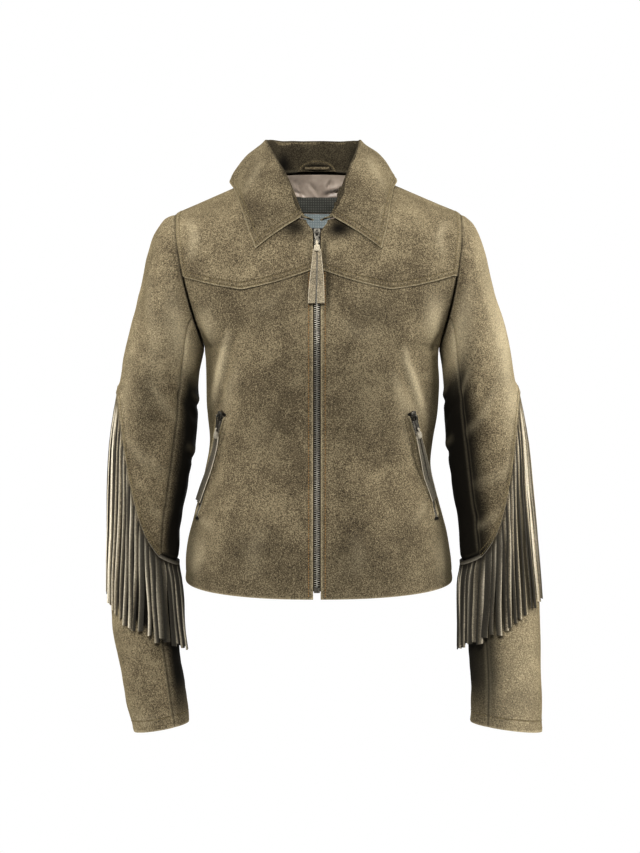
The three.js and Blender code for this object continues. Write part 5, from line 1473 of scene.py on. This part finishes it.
# a leather strap through the plate's slot, a wrap, and two strands that lie down the front
def tasselParts(place, look, surface, clear, seed):
    x, y = np.array([1.0, 0, 0]), np.array([0, 1.0, 0])
    slotZ = 0.6 - look["plate"] + 2.8
    turn = np.linspace(0, np.pi, 9)
    path = ([(0, pivotOut - 1.5, slotZ - 6.0), (0, pivotOut - 1.5, slotZ - 3.0)]
            + [(0, pivotOut - 1.5 * math.cos(a), slotZ - 0.7 + 1.4 * math.sin(a)) for a in turn]
            + [(0, pivotOut + 1.5, slotZ - 3.0), (0, pivotOut + 1.5, slotZ - 6.0)])
    tangents = unit(np.gradient(np.array(path), axis=0))
    outs = [np.cross(x, t) for t in tangents]
    parts = [swept(path, [x] * len(path), outs, [roundedSection(3.0, 1.2, 0.3)] * len(path))]
    z = slotZ - np.array([4.4, 5.0, 7.0, 9.2, 11.6, 12.8])
    wide = np.array([4.6, 6.6, 7.2, 7.4, 7.2, 6.0])
    deep = np.array([3.0, 4.2, 4.6, 4.6, 4.4, 3.4])
    parts.append(swept([(0, pivotOut, h) for h in z], [x] * 6, [y] * 6,
                       [roundedSection(w, d, 1.1) for w, d in zip(wide, deep)]))
    steps = 14
    worn = [0.35] * (len(parts[0][0]) + len(parts[1][0]))
    shade = [look["dark"]] * len(worn)
    for n, (startX, endX) in enumerate(look["ends"]):
        t = np.arange(steps + 1) / steps
        centres = vec(mixed(startX, endX, t ** 0.8), pivotOut,
                      mixed(-(look["plate"] + 6), -look["plate"] - look["strand"], t))
        for _ in range(6):
            world = toWorld(place, centres)
            level = toLocal(place, surface(world[:, 0], world[:, 2]))[:, 1]
            centres[:, 1] = mixed(centres[:, 1], level, 0.6)
        level = centres[:, 1] + clear
        centres[:, 1] = np.maximum(level, np.minimum(pivotOut - 0.8, level + 6))
        centres[0, 1] = pivotOut - 1
        centres[:, 0] += 1.1 * wobble(n, seed) * np.sin(4 * t + n)
        sections, acrosses, facings = [], [], []
        for i in range(steps + 1):
            t = i / steps
            width = mixed(look["topWide"], look["endWide"], smooth(0, 0.8, t))
            yaw = 0.35 * wobble(n, seed + 3) * math.sin(3 * t) + 0.25 * wobble(n, seed + 4)
            acrosses.append(np.array([math.cos(yaw), math.sin(yaw), 0]))
            facings.append(np.array([-math.sin(yaw), math.cos(yaw), 0]))
            sections.append(roundedSection(width, 1.6, 0.45))
        parts.append(swept(centres, acrosses, facings, sections))
        # the outer edge is pale, partly frayed fibres and partly painted highlight; the edge beside the
        # other strand gets painted shadow
        pale, deep = (0.9, 0.1), (look["dark"], 1.0)
        left, right = (0, 1) if n == 0 else (1, 0)
        worn += [pale[left], 0.1, 0.1, pale[right], pale[right], 0.1, 0.1, pale[left]] * (steps + 1)
        shade += [deep[left], look["dark"], look["dark"], deep[right],
                  deep[right], look["dark"], look["dark"], deep[left]] * (steps + 1)
    return parts, worn, shade


def makeRigid(name, node, place, parts, material, bodyName, bevel=0.0, worn=None,
              shade=None):
    points, faces = gathered(parts)
    piece = quadMesh(name, toWorld(place, points), faces, material, sharp=0.6)
    if worn:
        spareValues(piece, worn=worn, shade=shade)
    if bevel:
        rounding = piece.modifiers.new("rounded edges", "BEVEL")
        rounding.width = bevel * mm
        rounding.segments = 2
        rounding.limit_method = "ANGLE"
    settle(piece, node, bodyName)


def onCentre(x, z):
    return vec(x, centreFront(z)[0][:, 1], z)


def onFront(x, z):
    return onBody(x, z, -1)[0]


p, n = (q[0] for q in centreFront(np.array([frontZip["top"] - 8.0])))
lowPoint = centreFront(np.array([-160.0]))[0][0]
out = unit(np.array([0, -1, -n[2] / n[1]]))
up = unit(p - lowPoint)
place = pullFrame(p + out * 1.1, np.array([0, -up[2], up[1]]), up)
places = {"front": (place, "", "pull_front", onCentre, 2.4)}
for side in (-1, 1):
    top, topOut = pocketStations(side, np.array([0.03]))
    low, _ = pocketStations(side, np.array([0.75]))
    name = sideNames[side]
    place = pullFrame(top[0] + topOut[0] * 3.6, topOut[0], unit(top[0] - low[0]))
    places[name] = (place, f"_{name}", f"pull_pocket_{name}", onFront, 6.4)
for key, (place, ending, bodyName, surface, clear) in places.items():
    kind = "front" if key == "front" else "pocket"
    look = pullSets[kind]
    stem = "zip" if kind == "front" else "pocket"
    for part, shapes, carrier in (("slider", sliderParts(), "jacket"),
                                  ("pull", plateParts(look["plate"]), bodyName)):
        node = f"{stem}_{part}{ending}"
        makeRigid(f"{node}_metal", node, place, shapes, metal, carrier, bevel=0.18)
    parts, worn, shade = tasselParts(place, look, surface, clear, len(key))
    node = f"{stem}_tassel{ending}"
    makeRigid(f"{node}_suede", node, place, parts, fringeSuede, bodyName, worn=worn,
              shade=shade)
z = np.array([frontZip["bottom"] - 2, frontZip["bottom"] + 4.6])
line, outs = centreFront(z)
x = np.array([1.0, 0, 0])
stop = swept(line - outs * 0.6, [x] * 2, outs, [roundedSection(7.2, 2.4, 0.4)] * 2)
place = {"origin": np.zeros(3), "axes": np.eye(3)}
makeRigid("zip_stop_metal", "zip_stop", place, [stop], metal, "jacket", bevel=0.3)
report("pulls")

# each stitch is a short length of thread that dips at both ends
sewing = {"pitch": 3.3, "length": 2.5, "radius": 0.34}


def sew(name, lines, material):
    ring = [(math.cos(a), math.sin(a)) for a in np.linspace(0, 2 * np.pi, 6)[:5]]
    template = []
    for share, lift, size in ((-0.5, -0.35, 0.5), (-0.25, 0.25, 1), (0.25, 0.25, 1), (0.5, -0.35, 0.5)):
        for c, s in ring:
            template.append((c * size * sewing["radius"], (lift + s * size) * sewing["radius"],
                             share * sewing["length"]))
    faces = np.array([[i * 5 + q, i * 5 + 5 + q, i * 5 + 5 + (q + 1) % 5, i * 5 + (q + 1) % 5]
                      for i in range(3) for q in range(5)])
    parts = []
    for points, outs in lines:
        if len(points) < 3:
            continue
        s = lengthAlong(points)
        at = np.arange(sewing["pitch"] / 2, s[-1], sewing["pitch"])
        centre, ahead, before = (readAlong(points, s, at + step) for step in (0, 0.8, -0.8))
        out = unit(readAlong(outs, s, at))
        along = unit(ahead - before)
        across = unit(np.cross(along, out))
        parts.append(repeated(np.array(template), faces, centre, across, out, along))
    settle(quadMesh(name, *gathered(parts), material, sharp=3.1), "")


sew("stitching_olive", stitchLines["olive"], thread)
sew("stitching_tan", stitchLines["tan"], zipThread)
report("sewing")

# lengths here are in metres and lights in watts
studio = {"distance": 2.6, "viewX": 0.0038, "viewZ": -0.3066, "viewWide": 0.8192,
          "top": 18, "left": 54, "right": 80, "key": 132, "rear": 60, "sky": 0.02,
          "walls": 0.5,         # what shiny metal sees around it
          "contrast": 0.78}
scene = bpy.context.scene
lens = bpy.data.cameras.new("camera")
lens.sensor_fit = "HORIZONTAL"
lens.sensor_width = 36
lens.lens = 36 * studio["distance"] / studio["viewWide"]
camera = bpy.data.objects.new("camera", lens)
camera.location = (studio["viewX"], -studio["distance"], studio["viewZ"])
camera.rotation_euler = (math.pi / 2, 0, 0)
scene.collection.objects.link(camera)
scene.camera = camera


def softLight(name, place, aim, wide, tall, power):
    lamp = bpy.data.lights.new(name, "AREA")
    lamp.shape = "RECTANGLE"
    lamp.size = wide
    lamp.size_y = tall
    lamp.energy = power
    light = bpy.data.objects.new(name, lamp)
    light.location = place
    light.rotation_euler = (Vector(aim) - Vector(place)).to_track_quat("-Z", "Y").to_euler()
    scene.collection.objects.link(light)


softLight("top softbox", (0, -1.5, 2.6), (0, 0, -0.15), 1.1, 0.8, studio["top"])
softLight("left softbox", (-2.1, -0.35, 0.6), (0, -0.1, -0.35), 0.8, 1.3, studio["left"])
softLight("right softbox", (2.1, -0.35, 0.6), (0, -0.1, -0.35), 0.8, 1.3, studio["right"])
softLight("key softbox", (-0.3, -2.7, 1.5), (0, 0, -0.3), 1.6, 1.1, studio["key"])
softLight("rear softbox", (0.3, 2.8, 0.2), (0, 0, -0.3), 1.6, 1.1, studio["rear"])

world = bpy.data.worlds.new("white studio")
world.use_nodes = True
sky = world.node_tree
sky.nodes.clear()
rays = addNode(sky, "ShaderNodeLightPath")
plain = addNode(sky, "ShaderNodeBackground", {"Color": (1, 1, 1, 1), "Strength": 1.0})
dim = addNode(sky, "ShaderNodeBackground", {"Color": (1, 0.99, 0.97, 1), "Strength": studio["sky"]})
walls = addNode(sky, "ShaderNodeBackground", {"Color": (1, 1, 1, 1), "Strength": studio["walls"]})
shiny = addNode(sky, "ShaderNodeMixShader", {
    0: rays.outputs["Is Glossy Ray"], 1: dim.outputs[0], 2: walls.outputs[0]})
both = addNode(sky, "ShaderNodeMixShader", {
    0: rays.outputs["Is Camera Ray"], 1: shiny.outputs[0], 2: plain.outputs[0]})
addNode(sky, "ShaderNodeOutputWorld", {"Surface": both.outputs[0]})
scene.world = world
scene.view_settings.view_transform = "Standard"
scene.view_settings.gamma = studio["contrast"]


# Studio floor of pale painted vinyl: matt, almost white, with faint scuffs.
floorMaterial, floorTree, place = emptyMaterial("painted vinyl floor, matt")
scuffs = addNode(floorTree, "ShaderNodeTexNoise", {
    "Vector": place, "Scale": 9.0, "Detail": 4}).outputs["Fac"]
base = addNode(floorTree, "ShaderNodeValToRGB", {"Fac": scuffs}, stops=[
    (0.3, "#e6e6e4"), (0.7, "#efefed")]).outputs["Color"]
skin = addNode(floorTree, "ShaderNodeBsdfPrincipled", {"Base Color": base, "Roughness": 0.9})
addNode(floorTree, "ShaderNodeOutputMaterial", {"Surface": skin.outputs[0]})
floorSize = {"half": 800, "level": -1050, "thick": 20}
corners = [(x * floorSize["half"], y * floorSize["half"], floorSize["level"])
           for x, y in ((-1, -1), (1, -1), (1, 1), (-1, 1))]
below = [(x, y, z - floorSize["thick"]) for x, y, z in corners]
floorFaces = [[0, 1, 2, 3], [7, 6, 5, 4], [0, 4, 5, 1], [1, 5, 6, 2], [2, 6, 7, 3], [3, 7, 4, 0]]
floor = quadMesh("floor", corners + below, floorFaces, floorMaterial)

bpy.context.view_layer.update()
report(f"flat sizes {flatSizes}")
